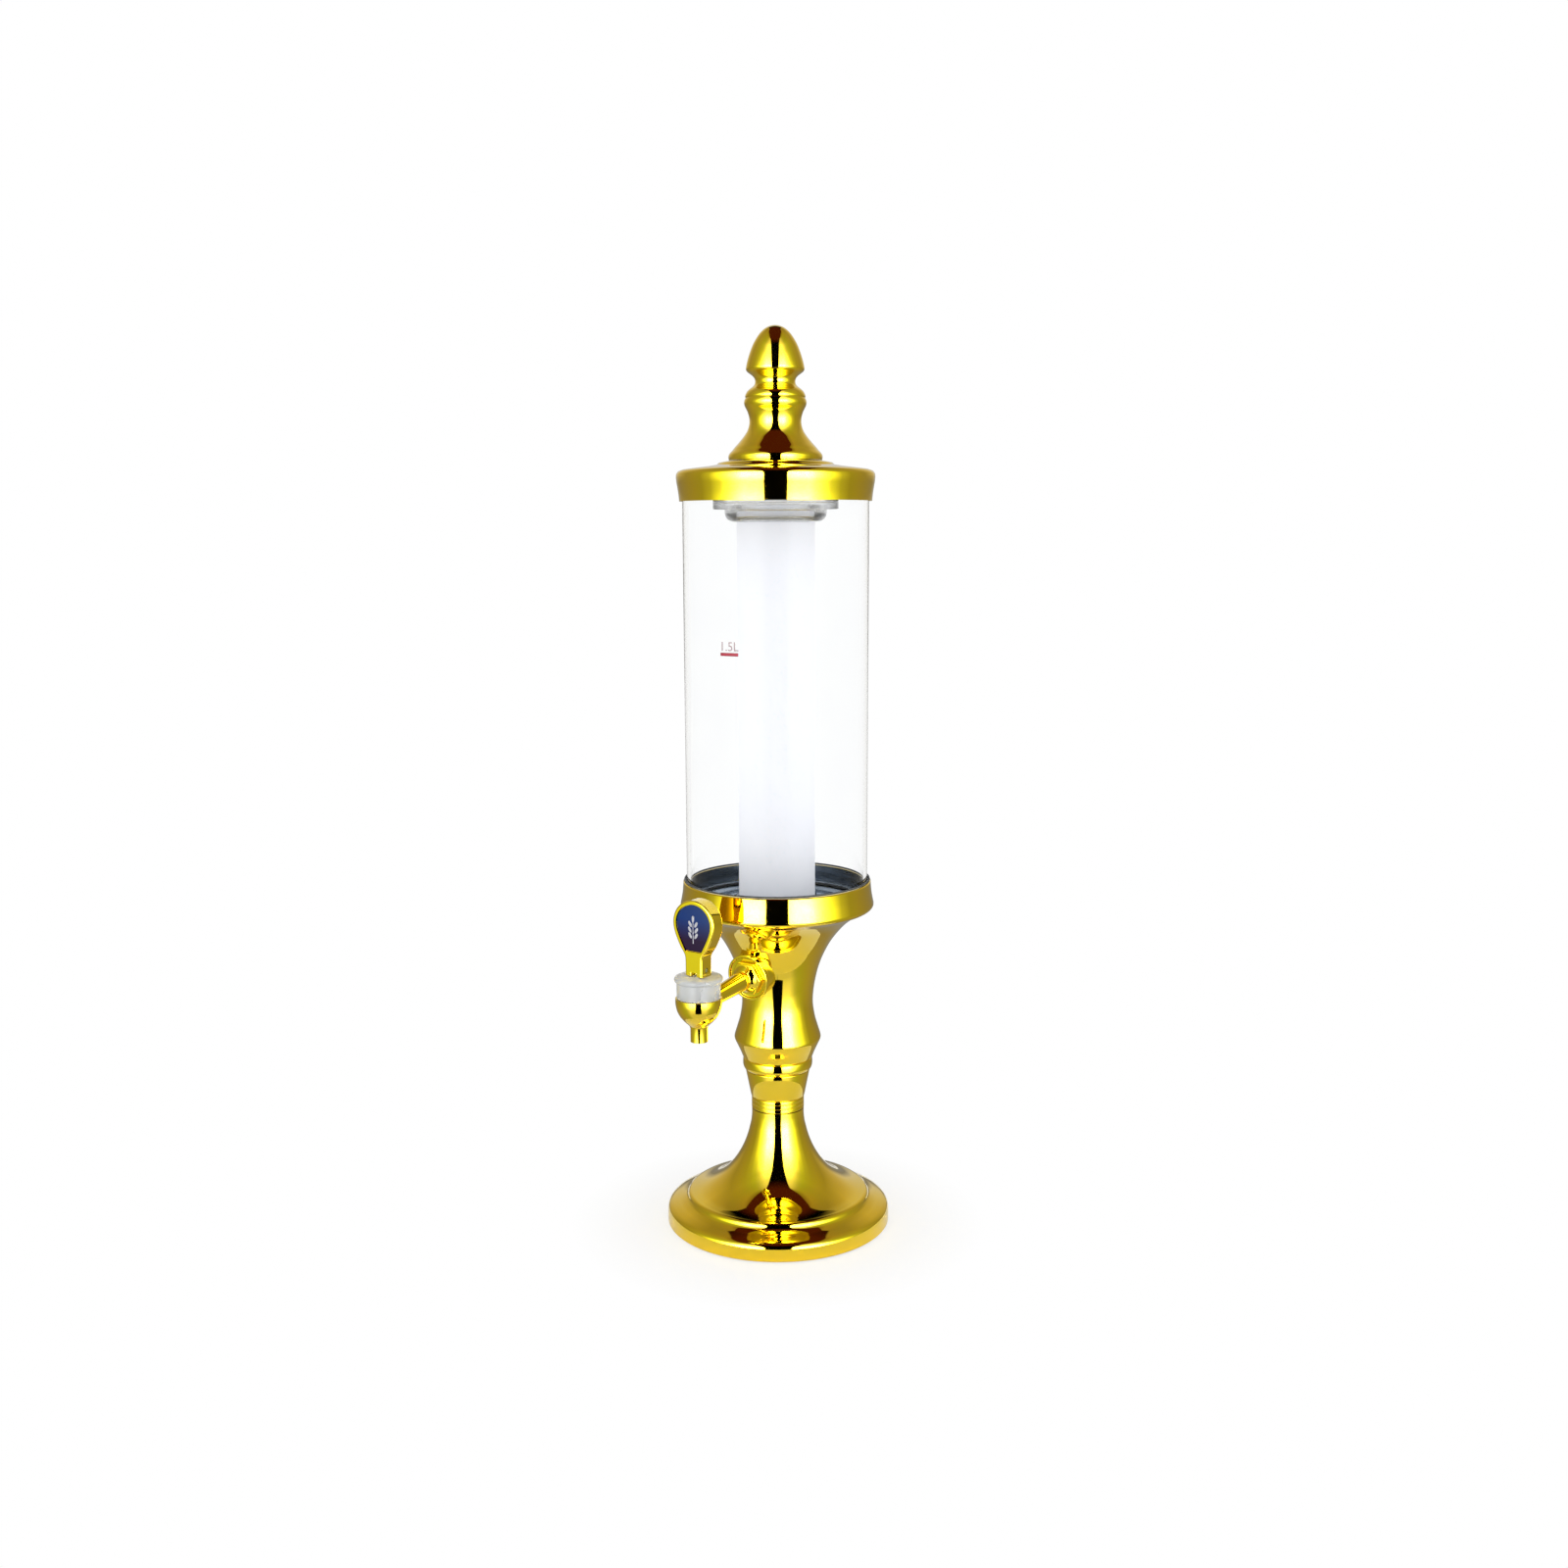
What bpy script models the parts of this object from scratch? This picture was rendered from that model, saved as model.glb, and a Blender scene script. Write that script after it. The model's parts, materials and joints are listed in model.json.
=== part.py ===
# Beer tower dispenser: weighted foot, pedestal cup with a lever tap, clear tank, ice tube and lid.
# Metres, +Z up. The origin is the middle of the underside, and the tap points to -Y.
import math

import bmesh
import bpy
from mathutils import Matrix, Vector

MM = 0.001

# Fits shared by all pieces
SEAT_GAP = 0.3 * MM
OVERRUN = 2.0 * MM
HOLE_SLACK = 0.6 * MM
MERGE_DISTANCE = 0.01 * MM

# Sharpest corner that a wall's inner line still follows
MITRE_LIMIT_SHARE = 0.5

# How finely round pieces are turned
LARGE_STEPS = 28
MEDIUM_STEPS = 20
SMALL_STEPS = 16
TINY_STEPS = 12

# Base: pad, cover, ballast and the flared foot shell
PAD_INSET = 9.0 * MM
PAD_THICKNESS = 1.5 * MM
COVER_THICKNESS = 2.0 * MM
FOOT_RADIUS = 75.0 * MM
FOOT_NECK_RADIUS = 17.5 * MM
FOOT_HEIGHT = 78.0 * MM
FOOT_RIM_LIFT = 1.0 * MM
FOOT_WALL = 2.2 * MM
FOOT_WEB = 5.0 * MM
POST_INSET = 23.0 * MM
POST_RADIUS = 4.0 * MM
BALLAST_INSET = 4.5 * MM
BALLAST_HEADROOM = 1.5 * MM
BALLAST_HUB_CLEARANCE = 14.0 * MM
BALLAST_HUB_STEP = 7.4 * MM
BALLAST_BORE_RADIUS = 12.0 * MM
SCREW_RADIUS = 1.5 * MM
SCREW_HEAD_RADIUS = 3.0 * MM
SCREW_HEAD_HEIGHT = 1.0 * MM
SCREW_LENGTH = 11.0 * MM
SCREW_COUNT = 4

# Radius shares run from the neck to the rim, height shares from the rim's edge to the top
FOOT_OUTLINE_SHARES = [
    (0.0, 1.0), (0.0, 0.942), (0.014, 0.855), (0.050, 0.756), (0.090, 0.673),
    (0.144, 0.591), (0.221, 0.503), (0.341, 0.403), (0.470, 0.332), (0.600, 0.282),
    (0.704, 0.256), (0.742, 0.247), (0.772, 0.205), (0.861, 0.184), (0.948, 0.158),
    (0.985, 0.138), (1.0, 0.109), (1.0, 0.0),
]

# Neck: band, sleeve and ring that the tie bolt clamps between foot and pedestal
BAND_HEIGHT = 8.5 * MM
BAND_RADIUS = 17.6 * MM
BAND_GROOVE = 0.4 * MM
SLEEVE_HEIGHT = 18.2 * MM
SLEEVE_LOW_RADIUS = 18.0 * MM
SLEEVE_TOP_RADIUS = 21.6 * MM
SLEEVE_WALL = 2.2 * MM
REGISTER_HEIGHT = 1.5 * MM
RING_HEIGHT = 8.4 * MM
RING_LOW_RADIUS = 22.9 * MM
RING_TOP_RADIUS = 23.3 * MM
RING_EDGE = 1.1 * MM

# Tie bolt with its washers and nut
TIE_RADIUS = 4.0 * MM
TIE_HEAD_RADIUS = 7.0 * MM
TIE_HEAD_HEIGHT = 5.3 * MM
TIE_WASHER_RADIUS = 9.0 * MM
TIE_WASHER_THICKNESS = 1.5 * MM
TIE_NUT_RADIUS = 7.5 * MM
TIE_NUT_HEIGHT = 6.4 * MM
TIE_TAIL = 2.5 * MM
HEX_SIDES = 6

# Tank and the cup that carries it
TANK_RADIUS = 59.4 * MM
TANK_WALL = 2.8 * MM
TANK_LENGTH = 272.8 * MM
TANK_EDGE = 0.5 * MM
GASKET_THICKNESS = 1.2 * MM
GASKET_WIDTH = 3.0 * MM
CUP_WALL = 4.2 * MM
CUP_LIP_WALL = 2.0 * MM
CUP_SIDE_HEIGHT = 15.0 * MM
CUP_SEAT_DEPTH = 16.0 * MM
CUP_SEAT_WIDTH = 5.7 * MM
LIP_SEAL_THICKNESS = 1.0 * MM
LIP_SEAL_WIDTH = 1.5 * MM

# Pedestal under the cup: flare, waist and bulb
PEDESTAL_HEIGHT = 120.7 * MM
PEDESTAL_WALL = 2.4 * MM
PEDESTAL_WEB = 6.0 * MM
PEDESTAL_FOOT_RADIUS = 23.4 * MM
WAIST_RADIUS = 23.6 * MM
WAIST_HEIGHT = 39.2 * MM
BULB_RADIUS = 28.9 * MM
BULB_HEIGHT = 13.2 * MM

# Cup side: shares of the wall's swell and of the side's height, from the lip down
CUP_SIDE_SHARES = [(0.0, 1.0), (0.14, 0.74), (0.45, 0.40), (0.86, 0.10), (1.0, 0.0)]
# Flare: radius shares from waist to cup, height shares from waist to the cup's widest line
FLARE_SHARES = [
    (0.985, 0.964), (0.940, 0.943), (0.779, 0.904), (0.677, 0.869), (0.543, 0.802),
    (0.417, 0.710), (0.308, 0.624), (0.211, 0.534), (0.125, 0.409), (0.057, 0.281),
    (0.018, 0.160), (0.0, 0.0),
]
# Bulb above its widest line: radius shares from waist to bulb, height shares up to the waist
BULB_TOP_SHARES = [(0.06, 0.865), (0.25, 0.565), (0.53, 0.358), (0.85, 0.146), (1.0, 0.0)]
# Bulb below its widest line: radius shares from the pedestal's foot to the bulb
BULB_LOW_SHARES = [(0.89, 0.85), (0.65, 0.64), (0.29, 0.32), (0.0, 0.0)]

# Tank floor with the socket of the ice tube, the sump and the outlet spigot
FLOOR_THICKNESS = 2.5 * MM
FLOOR_DISH_DROP = 2.0 * MM
FLOOR_STEP_DROP = 0.8 * MM
FLOOR_RIM_WIDTH = 6.5 * MM
FLOOR_STEP_WIDTH = 8.0 * MM
SUMP_DROP = 0.8 * MM
SOCKET_WALL = 2.2 * MM
SOCKET_HEIGHT = 6.0 * MM
SOCKET_SEAT_WIDTH = 2.6 * MM
SOCKET_SEAT_HEIGHT = 2.0 * MM
SOCKET_SLOT_WIDTH = 8.0 * MM
SOCKET_SLOTS = 4
SPIGOT_OFFSET = 8.0 * MM
SPIGOT_RADIUS = 4.0 * MM
SPIGOT_BORE_RADIUS = 2.8 * MM
SPIGOT_LENGTH = 12.5 * MM

# Ice tube and its cap
ICE_TUBE_RADIUS = 25.0 * MM
ICE_TUBE_WALL = 1.8 * MM
CAP_DROP = 15.9 * MM
CAP_RADIUS = 40.0 * MM
CAP_RIM_WALL = 1.6 * MM
CAP_RIM_DROP = 5.7 * MM
CAP_TOP = 1.5 * MM
CAP_CROWN_HEIGHT = 6.2 * MM
CAP_COLLAR_RADIUS = 32.5 * MM
CAP_SKIRT_DROP = 7.3 * MM
CAP_SKIRT_WALL = 1.9 * MM
CAP_HOLLOW_INSET = 2.8 * MM
CAP_HOLLOW_TOP = 2.0 * MM
CAP_COLLAR_SHARE = 0.25
CAP_CURVE_STEPS = 3
SEAL_RADIUS = 0.85 * MM
SEAL_GROOVE_DROP = 4.6 * MM
SEAL_SIDES = 6

# Lid, finial and the screw that joins them
LID_WALL = 3.6 * MM
LID_TOP_WALL = 3.0 * MM
LID_SKIRT_DROP = 16.2 * MM
LID_CROWN_HEIGHT = 8.8 * MM
LID_SEAT_RADIUS = 31.0 * MM
FINIAL_RADIUS = 29.9 * MM
FINIAL_HEIGHT = 83.2 * MM
FINIAL_BORE_DEPTH = 26.0 * MM
KNOB_SCREW_RADIUS = 2.3 * MM
KNOB_SCREW_HEAD_RADIUS = 4.5 * MM
KNOB_SCREW_HEAD_HEIGHT = 2.4 * MM
KNOB_WASHER_RADIUS = 6.5 * MM
KNOB_WASHER_THICKNESS = 1.2 * MM
KNOB_SCREW_LENGTH = 26.0 * MM

# Lid skirt: shares of the wall's thickness and of the skirt's drop, from the shoulder down
LID_SKIRT_SHARES = [(1.0, 0.0), (1.0, 0.13), (0.75, 0.41), (0.58, 0.72), (0.47, 1.0)]
# Lid crown: shares of the lid's radius and of the crown's height above the tank's top edge
LID_CROWN_SHARES = [
    (0.575, 0.83), (0.675, 0.66), (0.703, 0.55), (0.820, 0.48), (0.932, 0.40),
    (0.977, 0.28),
]
# Finial: shares of its radius and of its height
FINIAL_OUTLINE_SHARES = [
    (0.130, 0.995), (0.270, 0.960), (0.378, 0.917), (0.498, 0.832), (0.569, 0.766),
    (0.619, 0.691), (0.590, 0.650), (0.500, 0.631), (0.440, 0.610), (0.425, 0.585),
    (0.455, 0.556), (0.560, 0.527), (0.625, 0.500), (0.642, 0.479), (0.630, 0.462),
    (0.660, 0.425), (0.640, 0.401), (0.572, 0.350), (0.548, 0.290), (0.600, 0.222),
    (0.722, 0.156), (0.873, 0.090), (0.962, 0.047), (1.0, 0.028), (0.990, 0.0),
]

# Tap: the axis of boss, flange, nut and pipe slopes down and outwards
TAP_TILT = math.radians(7.5)
TAP_RISE = 61.4 * MM
TAP_REACH = 85.8 * MM
BOSS_RADIUS = 14.6 * MM
BOSS_SINK = 3.0 * MM
BOSS_LENGTH = 9.9 * MM
FLANGE_RADIUS = 15.4 * MM
FLANGE_THICKNESS = 2.2 * MM
FLANGE_RIM_WIDTH = 1.6 * MM
FLANGE_RIM_HEIGHT = 1.4 * MM
HUB_NUT_RADIUS = 11.6 * MM
HUB_NUT_HEIGHT = 3.6 * MM
HUB_CONE_RADIUS = 9.2 * MM
HUB_CONE_HEIGHT = 2.6 * MM
SHANK_RADIUS = 5.0 * MM
PIPE_ROOT_RADIUS = 6.4 * MM
PIPE_END_RADIUS = 4.8 * MM
PIPE_BORE_RADIUS = 2.4 * MM
TAP_WASHER_RADIUS = 9.0 * MM
TAP_WASHER_THICKNESS = 1.2 * MM
TAP_LOCKNUT_RADIUS = 8.4 * MM
TAP_LOCKNUT_HEIGHT = 3.5 * MM
BARB_RADIUS = 4.0 * MM
BARB_LENGTH = 7.0 * MM
BODY_RADIUS = 14.7 * MM
BODY_DEPTH = 20.3 * MM
BODY_RISE = 5.9 * MM
SPOUT_RADIUS = 5.5 * MM
SPOUT_BORE_RADIUS = 4.0 * MM
SPOUT_LENGTH = 8.0 * MM
BONNET_SOCKET_DEPTH = 3.3 * MM
BONNET_SOCKET_RADIUS = 11.5 * MM
CHAMBER_RADIUS = 10.0 * MM
CHAMBER_DEPTH = 7.8 * MM
VALVE_SEAT_DEPTH = 16.8 * MM
# Tap body: shares of its radius and depth from the top edge down to the spout
BODY_OUTLINE_SHARES = [
    (1.0, 0.0), (1.0, 0.16), (0.966, 0.31), (0.898, 0.433), (0.790, 0.560),
    (0.640, 0.715), (0.510, 0.840), (0.430, 0.930),
]

# Hose from the tank's outlet to the tap, with its two clamps
HOSE_WALL = 1.5 * MM
HOSE_BEND_RADIUS = 18.0 * MM
HOSE_BEND_STEPS = 9
HOSE_TOP_CLEARANCE = 2.5 * MM
CLAMP_THICKNESS = 0.9 * MM
CLAMP_WIDTH = 4.0 * MM
CLAMP_EAR_LENGTH = 3.0 * MM
CLAMP_EAR_WIDTH = 3.2 * MM
CLAMP_SET_BACK = 1.5 * MM

# Valve inside the tap
BONNET_RADIUS = 13.8 * MM
BONNET_LIP_RADIUS = 15.3 * MM
BONNET_HEIGHT = 13.7 * MM
BONNET_LIP_HEIGHT = 3.7 * MM
BONNET_WEB = 2.8 * MM
BONNET_HOLLOW_RADIUS = 8.5 * MM
STEM_RADIUS = 2.2 * MM
STEM_HEAD = 3.0 * MM
PLUG_HEIGHT = 8.1 * MM
PLUG_RIM = 0.9 * MM
PLUG_STEM_DEPTH = 5.6 * MM
SPRING_WASHER_RADIUS = 6.0 * MM
SPRING_WASHER_THICKNESS = 1.0 * MM
SPRING_RADIUS = 4.6 * MM
SPRING_WIRE_RADIUS = 0.45 * MM
SPRING_END_PITCH = 1.45 * MM
SPRING_TURNS = 7
SPRING_POINTS_PER_TURN = 9
PIN_RADIUS = 1.25 * MM

# Lever: its heel is a cam that lifts the stem as the lever tips
HEEL_HEIGHT = 4.0 * MM
VALVE_LIFT = 2.0 * MM
LEVER_SWING = math.radians(35.0)
LEVER_WIDTH = 12.9 * MM
LEVER_DEPTH = 10.6 * MM
LEVER_HEIGHT = 48.5 * MM
PADDLE_WIDTH = 31.6 * MM
PADDLE_HEIGHT = 35.0 * MM
PADDLE_TOP_HEIGHT = 15.1 * MM
LEVER_EDGE = 1.1 * MM
FORK_DEPTH = 4.6 * MM
CAM_STEPS = 6
TOP_ARC_STEPS = 8
BADGE_FRAME = 2.4 * MM
BADGE_THICKNESS = 1.0 * MM
BADGE_SINK = 0.2 * MM
# Paddle side: shares of the widening from stem to paddle and of the height to its widest line
PADDLE_SIDE_SHARES = [
    (1.0, 1.0), (0.97, 0.85), (0.85, 0.65), (0.63, 0.425), (0.40, 0.225), (0.11, 0.05),
    (0.0, 0.0),
]

# Heights that follow from the stack
foot_bottom = FOOT_RIM_LIFT
foot_top = foot_bottom + FOOT_HEIGHT
cover_bottom = PAD_THICKNESS + SEAT_GAP
cover_top = cover_bottom + COVER_THICKNESS
cover_radius = FOOT_RADIUS - FOOT_WALL - SEAT_GAP
pad_radius = FOOT_RADIUS - PAD_INSET
post_circle_radius = FOOT_RADIUS - POST_INSET
band_bottom = foot_top + SEAT_GAP
band_top = band_bottom + BAND_HEIGHT
sleeve_bottom = band_top + SEAT_GAP
sleeve_top = sleeve_bottom + SLEEVE_HEIGHT
ring_bottom = sleeve_top + SEAT_GAP
ring_top = ring_bottom + RING_HEIGHT
pedestal_bottom = ring_top + SEAT_GAP
pedestal_top = pedestal_bottom + PEDESTAL_HEIGHT
cup_bore_radius = TANK_RADIUS + SEAT_GAP
cup_radius = cup_bore_radius + CUP_WALL
cup_lip_radius = cup_bore_radius + CUP_LIP_WALL
cup_shoulder = pedestal_top - CUP_SIDE_HEIGHT
cup_seat = pedestal_top - CUP_SEAT_DEPTH
cup_seat_radius = cup_bore_radius - CUP_SEAT_WIDTH
waist = pedestal_bottom + WAIST_HEIGHT
bulb = pedestal_bottom + BULB_HEIGHT
web_top = pedestal_bottom + PEDESTAL_WEB
floor_bottom = cup_seat + SEAT_GAP
floor_top = floor_bottom + FLOOR_THICKNESS
dish_top = floor_top - FLOOR_DISH_DROP
inner_floor = dish_top - FLOOR_STEP_DROP
sump_floor = inner_floor - SUMP_DROP
sump_under = sump_floor - FLOOR_THICKNESS
gasket_bottom = floor_top + SEAT_GAP
tank_bottom = gasket_bottom + GASKET_THICKNESS + SEAT_GAP
tank_top = tank_bottom + TANK_LENGTH
socket_radius = ICE_TUBE_RADIUS + SEAT_GAP
socket_seat = inner_floor + SOCKET_SEAT_HEIGHT
ice_bottom = socket_seat + SEAT_GAP
cap_top = tank_top - CAP_DROP
cap_seat = cap_top - CAP_CROWN_HEIGHT
ice_top = cap_seat - SEAT_GAP
lid_ceiling = tank_top + SEAT_GAP
lid_bottom = lid_ceiling - LID_SKIRT_DROP
lid_top = lid_ceiling + LID_CROWN_HEIGHT
lid_radius = cup_bore_radius + LID_WALL
finial_bottom = lid_top + SEAT_GAP
tie_hole_radius = TIE_RADIUS + HOLE_SLACK
tie_nut_bore_radius = TIE_RADIUS + SEAT_GAP
knob_hole_radius = KNOB_SCREW_RADIUS + SEAT_GAP
stem_hole_radius = STEM_RADIUS + SEAT_GAP
cam_rate = VALVE_LIFT / LEVER_SWING


def clear_scene():
    for thing in list(bpy.data.objects):
        bpy.data.objects.remove(thing, do_unlink=True)


def new_collection(name):
    group = bpy.data.collections.new(name)
    bpy.context.scene.collection.children.link(group)
    return group


def new_finish(name, colour, roughness, metallic, alpha=1.0):
    finish = bpy.data.materials.new(name)
    finish.use_nodes = True
    shader = finish.node_tree.nodes["Principled BSDF"]
    shader.inputs["Base Color"].default_value = (*colour, 1.0)
    shader.inputs["Roughness"].default_value = roughness
    shader.inputs["Metallic"].default_value = metallic
    shader.inputs["Alpha"].default_value = alpha
    finish.diffuse_color = (*colour, alpha)
    return finish


clear_scene()
tower = new_collection("beer_tower_dispenser")
cutters = new_collection("cutters")

gold = new_finish("gold_plate", (0.83, 0.60, 0.10), 0.08, 1.0)
clear = new_finish("clear_acrylic", (0.93, 0.95, 0.96), 0.05, 0.0, 0.3)
frosted = new_finish("frosted_acrylic", (0.88, 0.90, 0.93), 0.45, 0.0)
satin = new_finish("satin_metal", (0.52, 0.56, 0.62), 0.25, 1.0)
rubber = new_finish("grey_rubber", (0.12, 0.13, 0.14), 0.8, 0.0)
white_rubber = new_finish("pale_silicone", (0.75, 0.74, 0.70), 0.6, 0.0)
steel = new_finish("bright_steel", (0.62, 0.62, 0.60), 0.3, 1.0)
iron = new_finish("cast_iron", (0.10, 0.10, 0.10), 0.7, 0.6)
plastic = new_finish("black_plastic", (0.05, 0.05, 0.05), 0.5, 0.0)
badge_blue = new_finish("badge_enamel", (0.03, 0.08, 0.35), 0.15, 0.0)


def keep(piece, group=tower):
    for owner in list(piece.users_collection):
        owner.objects.unlink(piece)
    group.objects.link(piece)
    return piece


def as_helper(piece):
    keep(piece, cutters)
    piece.hide_render = True
    piece.display_type = "WIRE"
    return piece


def turned(name, outline, steps, finish=None):
    # The outline runs down the outer side; it is closed unless both ends lie on the axis
    mesh = bpy.data.meshes.new(name)
    last = len(outline) - 1
    edges = [(i, i + 1) for i in range(last)]
    if outline[0][0] > 0.0 or outline[last][0] > 0.0:
        edges.append((last, 0))
    mesh.from_pydata([(radius, 0.0, height) for radius, height in outline], edges, [])
    piece = bpy.data.objects.new(name, mesh)
    tower.objects.link(piece)
    screw = piece.modifiers.new("Turn", "SCREW")
    screw.axis = "Z"
    screw.angle = math.tau
    screw.steps = steps
    screw.render_steps = steps
    screw.use_merge_vertices = True
    screw.merge_threshold = MERGE_DISTANCE
    screw.use_smooth_shade = True
    if finish:
        mesh.materials.append(finish)
    return piece


def rod(name, radius, low, high, steps, finish=None):
    outline = [(0.0, high), (radius, high), (radius, low), (0.0, low)]
    return turned(name, outline, steps, finish)


def ring(name, outer, inner, low, high, steps, finish=None):
    outline = [(inner, high), (outer, high), (outer, low), (inner, low)]
    return turned(name, outline, steps, finish)


def box(name, low_corner, high_corner, finish=None):
    middle = [(a + b) / 2 for a, b in zip(low_corner, high_corner)]
    sides = [b - a for a, b in zip(low_corner, high_corner)]
    mesh = bpy.data.meshes.new(name)
    form = bmesh.new()
    bmesh.ops.create_cube(form, size=1.0)
    bmesh.ops.scale(form, vec=sides, verts=form.verts)
    bmesh.ops.translate(form, vec=middle, verts=form.verts)
    form.to_mesh(mesh)
    form.free()
    piece = bpy.data.objects.new(name, mesh)
    tower.objects.link(piece)
    if finish:
        mesh.materials.append(finish)
    return piece


def combine(target, tool, operation):
    step = target.modifiers.new(f"{operation.lower()} {tool.name}", "BOOLEAN")
    step.operation = operation
    step.solver = "EXACT"
    step.object = as_helper(tool)


def cut(target, tool):
    combine(target, tool, "DIFFERENCE")


def join(target, tool):
    combine(target, tool, "UNION")


def inset(outline, wall):
    # Moves a line that runs down the outer side inwards by the wall, mitred at its corners
    moved = []
    last = len(outline) - 1
    for i, (radius, height) in enumerate(outline):
        before = Vector(outline[max(i - 1, 0)])
        here = Vector((radius, height))
        after = Vector(outline[min(i + 1, last)])
        normals = []
        for start, end in ((before, here), (here, after)):
            run = end - start
            if run.length > 0.0:
                run.normalize()
                normals.append(Vector((run.y, -run.x)))
        mean = sum(normals, Vector((0.0, 0.0))).normalized()
        reach = wall / max(mean.dot(normals[0]), MITRE_LIMIT_SHARE)
        moved.append((radius + mean.x * reach, height + mean.y * reach))
    return moved


def thin_out(outline, spacing):
    kept = [outline[0]]
    for point in outline[1:-1]:
        if (Vector(point) - Vector(kept[-1])).length >= spacing:
            kept.append(point)
    kept.append(outline[-1])
    return kept


def height_at(outline, radius):
    for (r0, z0), (r1, z1) in zip(outline, outline[1:]):
        if min(r0, r1) <= radius <= max(r0, r1) and r0 != r1:
            return z0 + (z1 - z0) * (radius - r0) / (r1 - r0)
    return outline[-1][1]


def radius_at(outline, height):
    for (r0, z0), (r1, z1) in zip(outline, outline[1:]):
        if min(z0, z1) <= height <= max(z0, z1) and z0 != z1:
            return r0 + (r1 - r0) * (height - z0) / (z1 - z0)
    return outline[-1][0]


def outline_between(shares, low_radius, high_radius, low, high):
    return [(low_radius + a * (high_radius - low_radius), low + b * (high - low))
            for a, b in shares]


def around(count, start=0.0):
    return [start + math.tau * i / count for i in range(count)]


foot_outline = outline_between(FOOT_OUTLINE_SHARES, FOOT_NECK_RADIUS, FOOT_RADIUS,
                               foot_bottom, foot_top)


def post_places():
    return [Vector((post_circle_radius * math.cos(angle), post_circle_radius * math.sin(angle),
                    0.0)) for angle in around(SCREW_COUNT, math.pi / 4)]


def make_foot_shell():
    ceiling = foot_top - FOOT_WEB
    coarse = thin_out(foot_outline[:-2], 4 * FOOT_WALL) + foot_outline[-2:]
    inner = inset(coarse, FOOT_WALL)
    inner = [(r, z) for r, z in inner if foot_bottom < z < ceiling]
    top_radius = radius_at(inset(foot_outline, FOOT_WALL), ceiling)
    inner = [(top_radius, ceiling)] + inner + [(FOOT_RADIUS - FOOT_WALL, foot_bottom)]
    outline = [(tie_hole_radius, foot_top)] + foot_outline + inner[::-1]
    outline.append((tie_hole_radius, ceiling))
    shell = turned("foot_shell", outline, LARGE_STEPS, gold)
    post_top = height_at(foot_outline, post_circle_radius + POST_RADIUS) - FOOT_WALL / 2
    pilot_radius = SCREW_RADIUS + SEAT_GAP
    pilot_top = cover_bottom + SCREW_LENGTH + SEAT_GAP
    for spot in post_places():
        post = rod("foot_post", POST_RADIUS, cover_top + SEAT_GAP, post_top, TINY_STEPS)
        post.location = spot
        join(shell, post)
    for spot in post_places():
        pilot = rod("post_pilot", pilot_radius, foot_bottom, pilot_top, TINY_STEPS)
        pilot.location = spot
        cut(shell, pilot)


def pierce(plate, radius, low, high):
    for spot in post_places():
        hole = rod("screw_hole", radius, low - OVERRUN, high + OVERRUN, TINY_STEPS)
        hole.location = spot
        cut(plate, hole)


def make_base():
    pad = rod("base_pad", pad_radius, 0.0, PAD_THICKNESS, LARGE_STEPS, rubber)
    pierce(pad, SCREW_HEAD_RADIUS + HOLE_SLACK, 0.0, PAD_THICKNESS)
    cover = rod("base_cover", cover_radius, cover_bottom, cover_top, LARGE_STEPS, plastic)
    pierce(cover, SCREW_RADIUS + SEAT_GAP, cover_bottom, cover_top)
    radius = cover_radius - BALLAST_INSET
    low = cover_top + SEAT_GAP
    rim_top = height_at(foot_outline, radius) - FOOT_WALL - BALLAST_HEADROOM
    hub_top = rim_top + BALLAST_HUB_STEP
    hub_radius = post_circle_radius - POST_RADIUS - BALLAST_HUB_CLEARANCE
    outline = [(BALLAST_BORE_RADIUS, hub_top), (hub_radius, hub_top), (hub_radius, rim_top),
               (radius, rim_top), (radius, low), (BALLAST_BORE_RADIUS, low)]
    ballast = turned("ballast", outline, LARGE_STEPS, iron)
    pierce(ballast, POST_RADIUS + HOLE_SLACK, low, hub_top)
    head_bottom = PAD_THICKNESS - SCREW_HEAD_HEIGHT
    tip = cover_bottom + SCREW_LENGTH
    outline = [(0.0, tip), (SCREW_RADIUS, tip), (SCREW_RADIUS, PAD_THICKNESS),
               (SCREW_HEAD_RADIUS, PAD_THICKNESS), (SCREW_HEAD_RADIUS, head_bottom),
               (0.0, head_bottom)]
    for number, spot in enumerate(post_places(), 1):
        screw = turned(f"cover_screw_{number}", outline, TINY_STEPS, steel)
        screw.location = spot


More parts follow.
